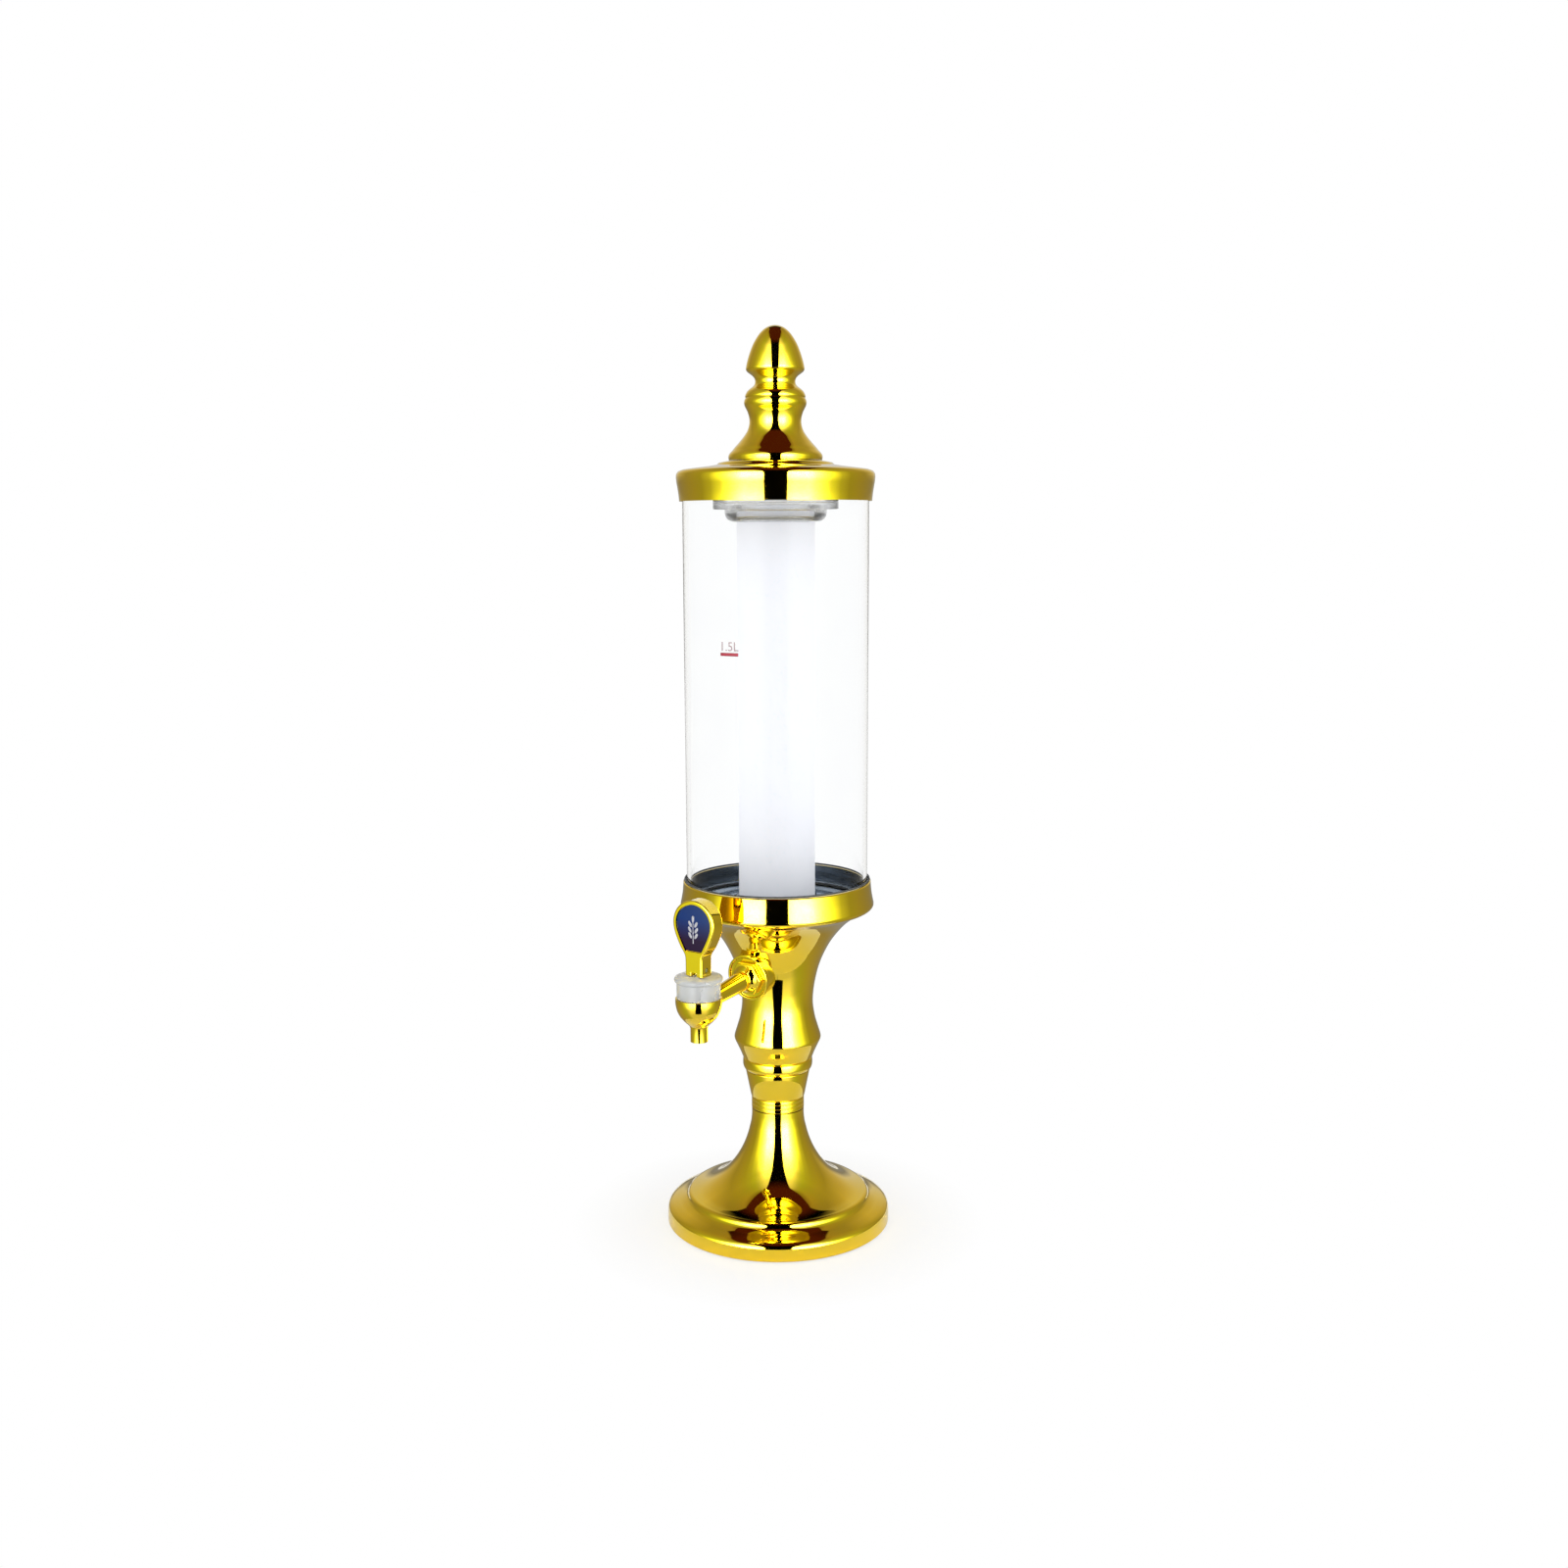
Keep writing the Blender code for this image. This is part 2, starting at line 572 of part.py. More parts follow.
def make_neck():
    register_low = SLEEVE_LOW_RADIUS - SLEEVE_WALL - SEAT_GAP
    register_top = SLEEVE_TOP_RADIUS - SLEEVE_WALL - SEAT_GAP
    third = BAND_HEIGHT / 3
    outline = [(tie_hole_radius, band_top + REGISTER_HEIGHT),
               (register_low, band_top + REGISTER_HEIGHT), (register_low, band_top),
               (BAND_RADIUS, band_top),
               (BAND_RADIUS, band_top - third + BAND_GROOVE),
               (BAND_RADIUS - BAND_GROOVE, band_top - third),
               (BAND_RADIUS, band_top - third - BAND_GROOVE),
               (BAND_RADIUS, band_bottom + third + BAND_GROOVE),
               (BAND_RADIUS - BAND_GROOVE, band_bottom + third),
               (BAND_RADIUS, band_bottom + third - BAND_GROOVE),
               (BAND_RADIUS, band_bottom), (tie_hole_radius, band_bottom)]
    turned("lower_band", outline, LARGE_STEPS, gold)
    outline = [(SLEEVE_TOP_RADIUS - SLEEVE_WALL, sleeve_top), (SLEEVE_TOP_RADIUS, sleeve_top),
               (SLEEVE_LOW_RADIUS, sleeve_bottom),
               (SLEEVE_LOW_RADIUS - SLEEVE_WALL, sleeve_bottom)]
    turned("neck_sleeve", outline, LARGE_STEPS, gold)
    edge_low = RING_LOW_RADIUS - RING_EDGE
    edge_top = RING_TOP_RADIUS - RING_EDGE
    register_bottom = ring_bottom - REGISTER_HEIGHT
    register_radius = register_top - REGISTER_HEIGHT
    outline = [(tie_hole_radius, ring_top), (edge_top, ring_top),
               (RING_TOP_RADIUS, ring_top - RING_EDGE), (RING_LOW_RADIUS, ring_bottom + RING_EDGE),
               (edge_low, ring_bottom), (register_radius, ring_bottom),
               (register_radius, register_bottom), (tie_hole_radius, register_bottom)]
    turned("neck_ring", outline, LARGE_STEPS, gold)


def hex_nut(name, radius, bore, low, high, finish):
    nut = turned(name, [(bore, high), (radius, high), (radius, low), (bore, low)], HEX_SIDES,
                 finish)
    nut.modifiers["Turn"].use_smooth_shade = False
    return nut


def make_tie():
    washer_top = foot_top - FOOT_WEB - SEAT_GAP
    washer_bottom = washer_top - TIE_WASHER_THICKNESS
    head_top = washer_bottom - SEAT_GAP
    head_bottom = head_top - TIE_HEAD_HEIGHT
    upper_bottom = web_top + SEAT_GAP
    upper_top = upper_bottom + TIE_WASHER_THICKNESS
    nut_bottom = upper_top + SEAT_GAP
    nut_top = nut_bottom + TIE_NUT_HEIGHT
    ring("tie_washer_low", TIE_WASHER_RADIUS, tie_nut_bore_radius, washer_bottom, washer_top,
         SMALL_STEPS, steel)
    ring("tie_washer_top", TIE_WASHER_RADIUS, tie_nut_bore_radius, upper_bottom, upper_top,
         SMALL_STEPS, steel)
    nut = hex_nut("tie_nut", TIE_NUT_RADIUS, 0.0, nut_bottom, nut_top, steel)
    cut(nut, rod("tie_nut_bore", tie_nut_bore_radius, nut_bottom - OVERRUN, nut_top + OVERRUN,
                 SMALL_STEPS))
    bolt = rod("tie_bolt", TIE_RADIUS, head_top - OVERRUN, nut_top + TIE_TAIL, SMALL_STEPS, steel)
    head = hex_nut("tie_bolt_head", TIE_HEAD_RADIUS, 0.0, head_bottom, head_top, None)
    join(bolt, head)


cup_side = [(cup_lip_radius + a * (cup_radius - cup_lip_radius),
             cup_shoulder + b * CUP_SIDE_HEIGHT) for a, b in CUP_SIDE_SHARES]
flare = outline_between(FLARE_SHARES, WAIST_RADIUS, cup_radius, waist, cup_shoulder)
bulb_top = outline_between(BULB_TOP_SHARES, WAIST_RADIUS, BULB_RADIUS, bulb, waist)
bulb_low = outline_between(BULB_LOW_SHARES, PEDESTAL_FOOT_RADIUS, BULB_RADIUS,
                           pedestal_bottom, bulb)
pedestal_outline = cup_side + flare + bulb_top + bulb_low

# The tap's axis leaves the pedestal at the boss face, which sits a little inside the flare
tap_height = pedestal_bottom + TAP_RISE
boss_reach = radius_at(pedestal_outline, tap_height + FLANGE_RADIUS) - BOSS_SINK
tap_turn = math.pi / 2 + TAP_TILT
boss_face = Vector((0.0, -boss_reach, tap_height))
tap_direction = Vector((0.0, -math.cos(TAP_TILT), -math.sin(TAP_TILT)))
body_along = (TAP_REACH - boss_reach) / math.cos(TAP_TILT)
pipe_end_height = tap_height - (TAP_REACH - boss_reach) * math.tan(TAP_TILT)
body_top = pipe_end_height + BODY_RISE
flange_low = SEAT_GAP
flange_face = flange_low + FLANGE_THICKNESS
hub_low = flange_face + SEAT_GAP
hub_high = hub_low + HUB_NUT_HEIGHT + HUB_CONE_HEIGHT
pipe_root = hub_high + SEAT_GAP
washer_high = -BOSS_LENGTH - SEAT_GAP
washer_low = washer_high - TAP_WASHER_THICKNESS
locknut_high = washer_low - SEAT_GAP
locknut_low = locknut_high - TAP_LOCKNUT_HEIGHT
shank_end = locknut_low - SEAT_GAP
barb_end = shank_end - BARB_LENGTH
shank_hole_radius = SHANK_RADIUS + SEAT_GAP


def on_tap(piece):
    # Puts a piece that was made along local Z onto the tap's sloping axis
    piece.matrix_world = Matrix.Translation(boss_face) @ Matrix.Rotation(tap_turn, 4, "X")
    return piece


def on_body(piece):
    piece.location = (0.0, -TAP_REACH, 0.0)
    return piece


def make_pedestal_cup():
    inner = inset(thin_out(flare + bulb_top + bulb_low, 4 * PEDESTAL_WALL), PEDESTAL_WALL)
    inner = [(r, z) for r, z in inner if r < cup_seat_radius - PEDESTAL_WALL and z > web_top]
    web_radius = radius_at(inset(bulb_top + bulb_low, PEDESTAL_WALL), web_top)
    outline = ([(cup_bore_radius, pedestal_top)] + pedestal_outline
               + [(tie_hole_radius, pedestal_bottom), (tie_hole_radius, web_top),
                  (web_radius, web_top)]
               + inner[::-1] + [(cup_seat_radius, cup_seat), (cup_bore_radius, cup_seat)])
    cup = turned("pedestal_cup", outline, LARGE_STEPS, gold)
    boss = on_tap(rod("tap_boss", BOSS_RADIUS, -BOSS_LENGTH, 0.0, MEDIUM_STEPS))
    join(cup, boss)
    spot_face = on_tap(rod("boss_spot_face", FLANGE_RADIUS + SEAT_GAP, 0.0,
                           TAP_REACH - boss_reach, MEDIUM_STEPS))
    cut(cup, spot_face)
    hole = on_tap(rod("shank_hole", shank_hole_radius, -BOSS_LENGTH - OVERRUN, OVERRUN,
                      SMALL_STEPS))
    cut(cup, hole)


def make_tank_floor():
    rim_radius = cup_bore_radius - SEAT_GAP
    rim_inner = rim_radius - FLOOR_RIM_WIDTH
    dish_radius = rim_inner - FLOOR_DISH_DROP
    step_radius = dish_radius - FLOOR_STEP_WIDTH
    under_radius = min(cup_seat_radius - PEDESTAL_WALL - SEAT_GAP, dish_radius)
    dish_under = dish_top - FLOOR_THICKNESS
    socket_outer = socket_radius + SOCKET_WALL
    seat_inner = socket_radius - SOCKET_SEAT_WIDTH
    outline = [(0.0, sump_floor), (seat_inner, sump_floor), (seat_inner, socket_seat),
               (socket_radius, socket_seat), (socket_radius, inner_floor + SOCKET_HEIGHT),
               (socket_outer, inner_floor + SOCKET_HEIGHT), (socket_outer, inner_floor),
               (step_radius - FLOOR_STEP_DROP, inner_floor), (step_radius, dish_top),
               (dish_radius, dish_top), (rim_inner, floor_top), (rim_radius, floor_top),
               (rim_radius, floor_bottom), (under_radius, floor_bottom),
               (under_radius - FLOOR_THICKNESS, dish_under),
               (socket_outer + FLOOR_THICKNESS, dish_under), (socket_outer, sump_under),
               (0.0, sump_under)]
    floor = turned("tank_floor", outline, LARGE_STEPS, satin)
    for number, angle in enumerate(around(SOCKET_SLOTS, math.pi / 4)):
        half = SOCKET_SLOT_WIDTH / 2
        slot = box(f"socket_slot_{number}", (seat_inner - OVERRUN, -half, inner_floor + SEAT_GAP),
                   (socket_outer + OVERRUN, half, inner_floor + SOCKET_HEIGHT + OVERRUN))
        slot.rotation_euler.z = angle
        cut(floor, slot)
    spigot = rod("outlet_spigot", SPIGOT_RADIUS, sump_under - SPIGOT_LENGTH,
                 sump_floor - FLOOR_THICKNESS / 2, SMALL_STEPS)
    spigot.location.y = SPIGOT_OFFSET
    join(floor, spigot)
    outlet = rod("outlet_bore", SPIGOT_BORE_RADIUS, sump_under - SPIGOT_LENGTH - OVERRUN,
                 sump_floor + OVERRUN, SMALL_STEPS)
    outlet.location.y = SPIGOT_OFFSET
    cut(floor, outlet)


def make_tank():
    ring("tank_gasket", TANK_RADIUS, TANK_RADIUS - GASKET_WIDTH, gasket_bottom,
         gasket_bottom + GASKET_THICKNESS, LARGE_STEPS, rubber)
    inner = TANK_RADIUS - TANK_WALL
    outline = [(inner + TANK_EDGE, tank_top), (TANK_RADIUS - TANK_EDGE, tank_top),
               (TANK_RADIUS, tank_top - TANK_EDGE), (TANK_RADIUS, tank_bottom),
               (inner, tank_bottom), (inner, tank_top - TANK_EDGE)]
    turned("tank", outline, LARGE_STEPS, clear)
    seal_low = pedestal_top + SEAT_GAP
    ring("cup_lip_seal", cup_bore_radius + LIP_SEAL_WIDTH, cup_bore_radius, seal_low,
         seal_low + LIP_SEAL_THICKNESS, LARGE_STEPS, rubber)


def make_ice_tube():
    inner = ICE_TUBE_RADIUS - ICE_TUBE_WALL
    outline = [(0.0, ice_bottom + ICE_TUBE_WALL), (inner, ice_bottom + ICE_TUBE_WALL),
               (inner, ice_top), (ICE_TUBE_RADIUS, ice_top), (ICE_TUBE_RADIUS, ice_bottom),
               (0.0, ice_bottom)]
    return turned("ice_tube", outline, MEDIUM_STEPS, frosted)


def make_ice_cap():
    skirt_inner = ICE_TUBE_RADIUS + SEAT_GAP
    skirt_bottom = cap_seat - CAP_SKIRT_DROP
    skirt_outer = skirt_inner + CAP_SKIRT_WALL
    collar_low = cap_seat - CAP_SKIRT_DROP * CAP_COLLAR_SHARE
    flange_under = cap_top - CAP_TOP
    seal_middle = cap_seat - SEAL_GROOVE_DROP
    groove_half = SEAL_RADIUS + SEAT_GAP
    groove_radius = skirt_inner + 2 * groove_half
    curve = []
    for i in range(CAP_CURVE_STEPS + 1):
        angle = math.pi / 2 * i / CAP_CURVE_STEPS
        curve.append((skirt_outer + (CAP_COLLAR_RADIUS - skirt_outer) * math.cos(angle),
                      collar_low + (skirt_bottom - collar_low) * math.sin(angle)))
    hollow = ICE_TUBE_RADIUS - CAP_HOLLOW_INSET
    outline = [(0.0, cap_top), (CAP_RADIUS, cap_top), (CAP_RADIUS, cap_top - CAP_RIM_DROP),
               (CAP_RADIUS - CAP_RIM_WALL, cap_top - CAP_RIM_DROP),
               (CAP_RADIUS - CAP_RIM_WALL, flange_under), (CAP_COLLAR_RADIUS, flange_under)]
    outline += curve
    outline += [(skirt_inner, skirt_bottom), (skirt_inner, seal_middle - groove_half),
                (groove_radius, seal_middle - groove_half),
                (groove_radius, seal_middle + groove_half),
                (skirt_inner, seal_middle + groove_half), (skirt_inner, cap_seat),
                (hollow, cap_seat), (hollow, cap_top - CAP_HOLLOW_TOP),
                (0.0, cap_top - CAP_HOLLOW_TOP)]
    cap = turned("ice_tube_cap", outline, MEDIUM_STEPS, clear)
    bpy.ops.mesh.primitive_torus_add(
        major_segments=MEDIUM_STEPS, minor_segments=SEAL_SIDES,
        major_radius=skirt_inner + groove_half, minor_radius=SEAL_RADIUS,
        location=(0.0, 0.0, seal_middle))
    seal = keep(bpy.context.object)
    seal.name = "cap_seal"
    seal.data.shade_smooth()
    seal.data.materials.append(rubber)
    return [cap, seal]


def make_lid():
    skirt_inner = cup_bore_radius
    skirt = [(skirt_inner + a * LID_WALL, lid_ceiling - b * LID_SKIRT_DROP)
             for a, b in LID_SKIRT_SHARES]
    crown = [(a * lid_radius, lid_ceiling + b * LID_CROWN_HEIGHT) for a, b in LID_CROWN_SHARES]
    crown_top = [(LID_SEAT_RADIUS, lid_top)] + crown
    under = inset(thin_out(crown_top, 2 * LID_TOP_WALL), LID_TOP_WALL)
    under = [(r, z) for r, z in under if r < TANK_RADIUS - 2 * TANK_WALL]
    rest_inner = TANK_RADIUS - TANK_WALL - SEAT_GAP
    outline = ([(knob_hole_radius, lid_top)] + crown_top + skirt
               + [(skirt_inner, lid_bottom), (skirt_inner, lid_ceiling),
                  (rest_inner, lid_ceiling)]
               + [(r, max(z, lid_ceiling)) for r, z in under[::-1]]
               + [(knob_hole_radius, lid_top - LID_TOP_WALL)])
    lid = turned("lid_shell", outline, LARGE_STEPS, gold)
    bore_top = finial_bottom + FINIAL_BORE_DEPTH
    outline = [(0.0, finial_bottom + FINIAL_HEIGHT)]
    outline += [(a * FINIAL_RADIUS, finial_bottom + b * FINIAL_HEIGHT)
                for a, b in FINIAL_OUTLINE_SHARES]
    outline += [(knob_hole_radius, finial_bottom), (knob_hole_radius, bore_top), (0.0, bore_top)]
    finial = turned("finial", outline, MEDIUM_STEPS, gold)
    washer_top = lid_top - LID_TOP_WALL - SEAT_GAP
    washer_bottom = washer_top - KNOB_WASHER_THICKNESS
    washer = ring("finial_washer", KNOB_WASHER_RADIUS, knob_hole_radius, washer_bottom,
                  washer_top, SMALL_STEPS, steel)
    head_top = washer_bottom - SEAT_GAP
    head_bottom = head_top - KNOB_SCREW_HEAD_HEIGHT
    tip = head_top + KNOB_SCREW_LENGTH
    outline = [(0.0, tip), (KNOB_SCREW_RADIUS, tip), (KNOB_SCREW_RADIUS, head_top),
               (KNOB_SCREW_HEAD_RADIUS, head_top), (KNOB_SCREW_HEAD_RADIUS, head_bottom),
               (0.0, head_bottom)]
    screw = turned("finial_screw", outline, SMALL_STEPS, steel)
    return [lid, finial, washer, screw]


def make_tap_fittings():
    rim_inner = FLANGE_RADIUS - FLANGE_RIM_WIDTH
    rim_face = flange_face + FLANGE_RIM_HEIGHT
    outline = [(rim_inner, rim_face), (FLANGE_RADIUS, rim_face), (FLANGE_RADIUS, flange_low),
               (shank_hole_radius, flange_low), (shank_hole_radius, flange_face),
               (rim_inner, flange_face)]
    on_tap(turned("tap_flange", outline, MEDIUM_STEPS, gold))
    nut_high = hub_low + HUB_NUT_HEIGHT
    nut = hex_nut("tap_hub_nut", HUB_NUT_RADIUS, 0.0, hub_low, nut_high, gold)
    outline = [(0.0, hub_high), (PIPE_ROOT_RADIUS, hub_high), (HUB_CONE_RADIUS, nut_high),
               (HUB_CONE_RADIUS, nut_high - HUB_NUT_HEIGHT / 2),
               (0.0, nut_high - HUB_NUT_HEIGHT / 2)]
    join(nut, on_tap(turned("hub_cone", outline, MEDIUM_STEPS)))
    cut(nut, on_tap(rod("hub_bore", shank_hole_radius, hub_low - OVERRUN, hub_high + OVERRUN,
                        SMALL_STEPS)))
    on_tap(nut)
    on_tap(ring("tap_washer", TAP_WASHER_RADIUS, shank_hole_radius, washer_low, washer_high,
                SMALL_STEPS, rubber))
    locknut = hex_nut("tap_locknut", TAP_LOCKNUT_RADIUS, 0.0, locknut_low, locknut_high, steel)
    cut(locknut, on_tap(rod("locknut_bore", shank_hole_radius, locknut_low - OVERRUN,
                            locknut_high + OVERRUN, SMALL_STEPS)))
    on_tap(locknut)


chamber_floor = body_top - CHAMBER_DEPTH
seat_floor = body_top - VALVE_SEAT_DEPTH
spout_end = body_top - BODY_DEPTH - SPOUT_LENGTH
socket_floor = body_top - BONNET_SOCKET_DEPTH


def make_tap_body():
    outline = [(0.0, body_top)]
    outline += [(a * BODY_RADIUS, body_top - b * BODY_DEPTH) for a, b in BODY_OUTLINE_SHARES]
    outline += [(SPOUT_RADIUS, body_top - BODY_DEPTH), (SPOUT_RADIUS, spout_end),
                (0.0, spout_end)]
    body = on_body(turned("tap_body", outline, MEDIUM_STEPS, gold))
    inside_end = body_along - CHAMBER_RADIUS / 2
    outline = [(0.0, inside_end), (PIPE_END_RADIUS, inside_end), (PIPE_ROOT_RADIUS, pipe_root),
               (SHANK_RADIUS, pipe_root), (SHANK_RADIUS, shank_end), (BARB_RADIUS, shank_end),
               (BARB_RADIUS, barb_end), (0.0, barb_end)]
    join(body, on_tap(turned("tap_pipe", outline, MEDIUM_STEPS)))
    above = rod("bonnet_clearance", BONNET_LIP_RADIUS + SEAT_GAP, body_top,
                body_top + BONNET_HEIGHT, MEDIUM_STEPS)
    cut(body, on_body(above))
    over = body_top + OVERRUN
    outline = [(0.0, over), (BONNET_SOCKET_RADIUS, over), (BONNET_SOCKET_RADIUS, socket_floor),
               (CHAMBER_RADIUS, socket_floor), (CHAMBER_RADIUS, chamber_floor),
               (SPOUT_BORE_RADIUS, seat_floor), (SPOUT_BORE_RADIUS, spout_end - OVERRUN),
               (0.0, spout_end - OVERRUN)]
    cut(body, on_body(turned("tap_chamber", outline, MEDIUM_STEPS)))
    cut(body, on_tap(rod("pipe_bore", PIPE_BORE_RADIUS, barb_end - OVERRUN, inside_end,
                         SMALL_STEPS)))


bonnet_bottom = body_top + SEAT_GAP
bonnet_top = bonnet_bottom + BONNET_HEIGHT
spring_ceiling = bonnet_top - BONNET_WEB
pivot_height = bonnet_top + SEAT_GAP + HEEL_HEIGHT
seat_slope = (CHAMBER_RADIUS - SPOUT_BORE_RADIUS) / (chamber_floor - seat_floor)
plug_bottom = seat_floor + SEAT_GAP
plug_top = plug_bottom + PLUG_HEIGHT
stem_bottom = plug_top - PLUG_STEM_DEPTH + SEAT_GAP
spring_washer_bottom = plug_top + SEAT_GAP
spring_washer_top = spring_washer_bottom + SPRING_WASHER_THICKNESS


def make_bonnet():
    lip_low = bonnet_top - BONNET_LIP_HEIGHT
    lip_bulge = (BONNET_LIP_RADIUS - BONNET_RADIUS) / 2
    spigot_radius = BONNET_SOCKET_RADIUS - SEAT_GAP
    outline = [(stem_hole_radius, bonnet_top), (BONNET_RADIUS - lip_bulge, bonnet_top),
               (BONNET_LIP_RADIUS - lip_bulge, bonnet_top - lip_bulge / 2),
               (BONNET_LIP_RADIUS, bonnet_top - BONNET_LIP_HEIGHT / 2),
               (BONNET_LIP_RADIUS - lip_bulge, lip_low + lip_bulge / 2),
               (BONNET_RADIUS, lip_low), (BONNET_RADIUS, bonnet_bottom),
               (spigot_radius, bonnet_bottom), (spigot_radius, socket_floor + SEAT_GAP),
               (BONNET_HOLLOW_RADIUS, socket_floor + SEAT_GAP),
               (BONNET_HOLLOW_RADIUS, spring_ceiling), (stem_hole_radius, spring_ceiling)]
    on_body(turned("bonnet", outline, MEDIUM_STEPS, clear))


def make_valve():
    stem = on_body(rod("valve_stem", STEM_RADIUS, stem_bottom, pivot_height + STEM_HEAD,
                       SMALL_STEPS, steel))
    eye = rod("stem_eye", PIN_RADIUS + SEAT_GAP, -LEVER_WIDTH, LEVER_WIDTH, SMALL_STEPS)
    eye.rotation_euler.y = math.pi / 2
    eye.location = (0.0, -TAP_REACH, pivot_height)
    cut(stem, eye)
    side_gap = SEAT_GAP * math.hypot(1.0, seat_slope)
    rim_low = plug_top - PLUG_RIM
    rim_radius = SPOUT_BORE_RADIUS + (rim_low - seat_floor) * seat_slope - side_gap
    tip_radius = SPOUT_BORE_RADIUS + (plug_bottom - seat_floor) * seat_slope - side_gap
    outline = [(stem_hole_radius, plug_top), (rim_radius - PLUG_RIM / 2, plug_top),
               (rim_radius, rim_low), (tip_radius, plug_bottom), (0.0, plug_bottom),
               (0.0, plug_top - PLUG_STEM_DEPTH), (stem_hole_radius, plug_top - PLUG_STEM_DEPTH)]
    outline = outline[5:] + outline[:5]
    plug = on_body(turned("valve_plug", outline, MEDIUM_STEPS, white_rubber))
    washer = on_body(ring("spring_washer", SPRING_WASHER_RADIUS, stem_hole_radius,
                          spring_washer_bottom, spring_washer_top, SMALL_STEPS, steel))
    pin_half = LEVER_WIDTH / 2 - SEAT_GAP
    pin = rod("lever_pin", PIN_RADIUS, -pin_half, pin_half, TINY_STEPS, steel)
    pin.rotation_euler.y = math.pi / 2
    pin.location = (0.0, -TAP_REACH, pivot_height)
    return [stem, plug, washer, pin]


def tube_mesh(name, points, radius, resolution):
    curve = bpy.data.curves.new(name, "CURVE")
    curve.dimensions = "3D"
    curve.bevel_depth = radius
    curve.bevel_resolution = resolution
    curve.use_fill_caps = True
    spline = curve.splines.new("POLY")
    spline.points.add(len(points) - 1)
    for point, place in zip(spline.points, points):
        point.co = (*place, 1.0)
    drawn = bpy.data.objects.new(name + "_line", curve)
    tower.objects.link(drawn)
    piece = mesh_of(drawn, name)
    return piece


def mesh_of(drawn, name):
    bpy.context.view_layer.update()
    seen = drawn.evaluated_get(bpy.context.evaluated_depsgraph_get())
    mesh = bpy.data.meshes.new_from_object(seen)
    form = bmesh.new()
    form.from_mesh(mesh)
    bmesh.ops.remove_doubles(form, verts=form.verts, dist=MERGE_DISTANCE)
    if drawn.data.dimensions == "2D":
        # One face for each flat side, so that a bevel can run round its edge
        bmesh.ops.dissolve_limit(form, angle_limit=math.radians(1.0), verts=form.verts,
                                 edges=form.edges)
    form.to_mesh(mesh)
    form.free()
    piece = bpy.data.objects.new(name, mesh)
    piece.matrix_world = drawn.matrix_world
    tower.objects.link(piece)
    bpy.data.objects.remove(drawn, do_unlink=True)
    return piece


def spring_points():
    low = spring_washer_top + SEAT_GAP + SPRING_WIRE_RADIUS
    high = spring_ceiling - SEAT_GAP - SPRING_WIRE_RADIUS
    middle_pitch = (high - low - 2 * SPRING_END_PITCH) / (SPRING_TURNS - 2)
    points = []
    for i in range(SPRING_TURNS * SPRING_POINTS_PER_TURN + 1):
        turns = i / SPRING_POINTS_PER_TURN
        rise = SPRING_END_PITCH * min(turns, 1.0)
        rise += middle_pitch * min(max(turns - 1.0, 0.0), SPRING_TURNS - 2)
        rise += SPRING_END_PITCH * max(turns - (SPRING_TURNS - 1), 0.0)
        angle = math.tau * turns
        points.append(Vector((SPRING_RADIUS * math.cos(angle),
                              SPRING_RADIUS * math.sin(angle) - TAP_REACH, low + rise)))
    return points


def least_self_gap(points, radius, skip):
    nearest = min((points[i] - points[j]).length
                  for i in range(len(points)) for j in range(i + skip, len(points)))
    return nearest - 2 * radius


def make_spring():
    points = spring_points()
    gap = least_self_gap(points, SPRING_WIRE_RADIUS, SPRING_POINTS_PER_TURN // 2)
    print(f"valve spring, least gap to itself: {gap / MM:.2f} mm")
    spring = tube_mesh("valve_spring", points, SPRING_WIRE_RADIUS, 1)
    spring.data.materials.append(steel)


def hose_points(spare):
    # Straight down off the spigot, one bend towards the tap, then along the tap's axis
    bend_end_y = SPIGOT_OFFSET - HOSE_BEND_RADIUS * (1.0 - math.sin(TAP_TILT))
    bend_end = boss_face + tap_direction * ((-bend_end_y - boss_reach) / math.cos(TAP_TILT))
    bend_middle = bend_end - HOSE_BEND_RADIUS * Vector(
        (0.0, math.sin(TAP_TILT), -math.cos(TAP_TILT)))
    points = [Vector((0.0, SPIGOT_OFFSET, sump_under - HOSE_TOP_CLEARANCE + spare))]
    for i in range(HOSE_BEND_STEPS + 1):
        angle = (math.pi / 2 - TAP_TILT) * i / HOSE_BEND_STEPS
        points.append(bend_middle + HOSE_BEND_RADIUS * Vector(
            (0.0, math.cos(angle), -math.sin(angle))))
    points.append(boss_face + tap_direction * (shank_end - SEAT_GAP + spare))
    return points


def make_hose():
    bore_radius = BARB_RADIUS + SEAT_GAP
    hose = tube_mesh("beer_hose", hose_points(0.0), bore_radius + HOSE_WALL, 3)
    hose.data.materials.append(white_rubber)
    cut(hose, tube_mesh("hose_bore", hose_points(OVERRUN), bore_radius, 4))


def clamp(name, low, finish):
    inner = BARB_RADIUS + HOSE_WALL + 2 * SEAT_GAP
    band = ring(name, inner + CLAMP_THICKNESS, inner, low, low + CLAMP_WIDTH, SMALL_STEPS, finish)
    half = CLAMP_EAR_WIDTH / 2
    ear = box(name + "_ear", (inner + CLAMP_THICKNESS / 2, -half, low),
              (inner + CLAMP_EAR_LENGTH, half, low + CLAMP_WIDTH))
    return band, ear


def make_clamps():
    low = sump_under - HOSE_TOP_CLEARANCE - CLAMP_SET_BACK - CLAMP_WIDTH
    band, ear = clamp("hose_clamp_top", low, steel)
    for piece in (band, ear):
        piece.location.y = SPIGOT_OFFSET
    join(band, ear)
    band, ear = clamp("hose_clamp_tap", shank_end - CLAMP_SET_BACK - CLAMP_WIDTH, steel)
    join(band, on_tap(ear))
    on_tap(band)


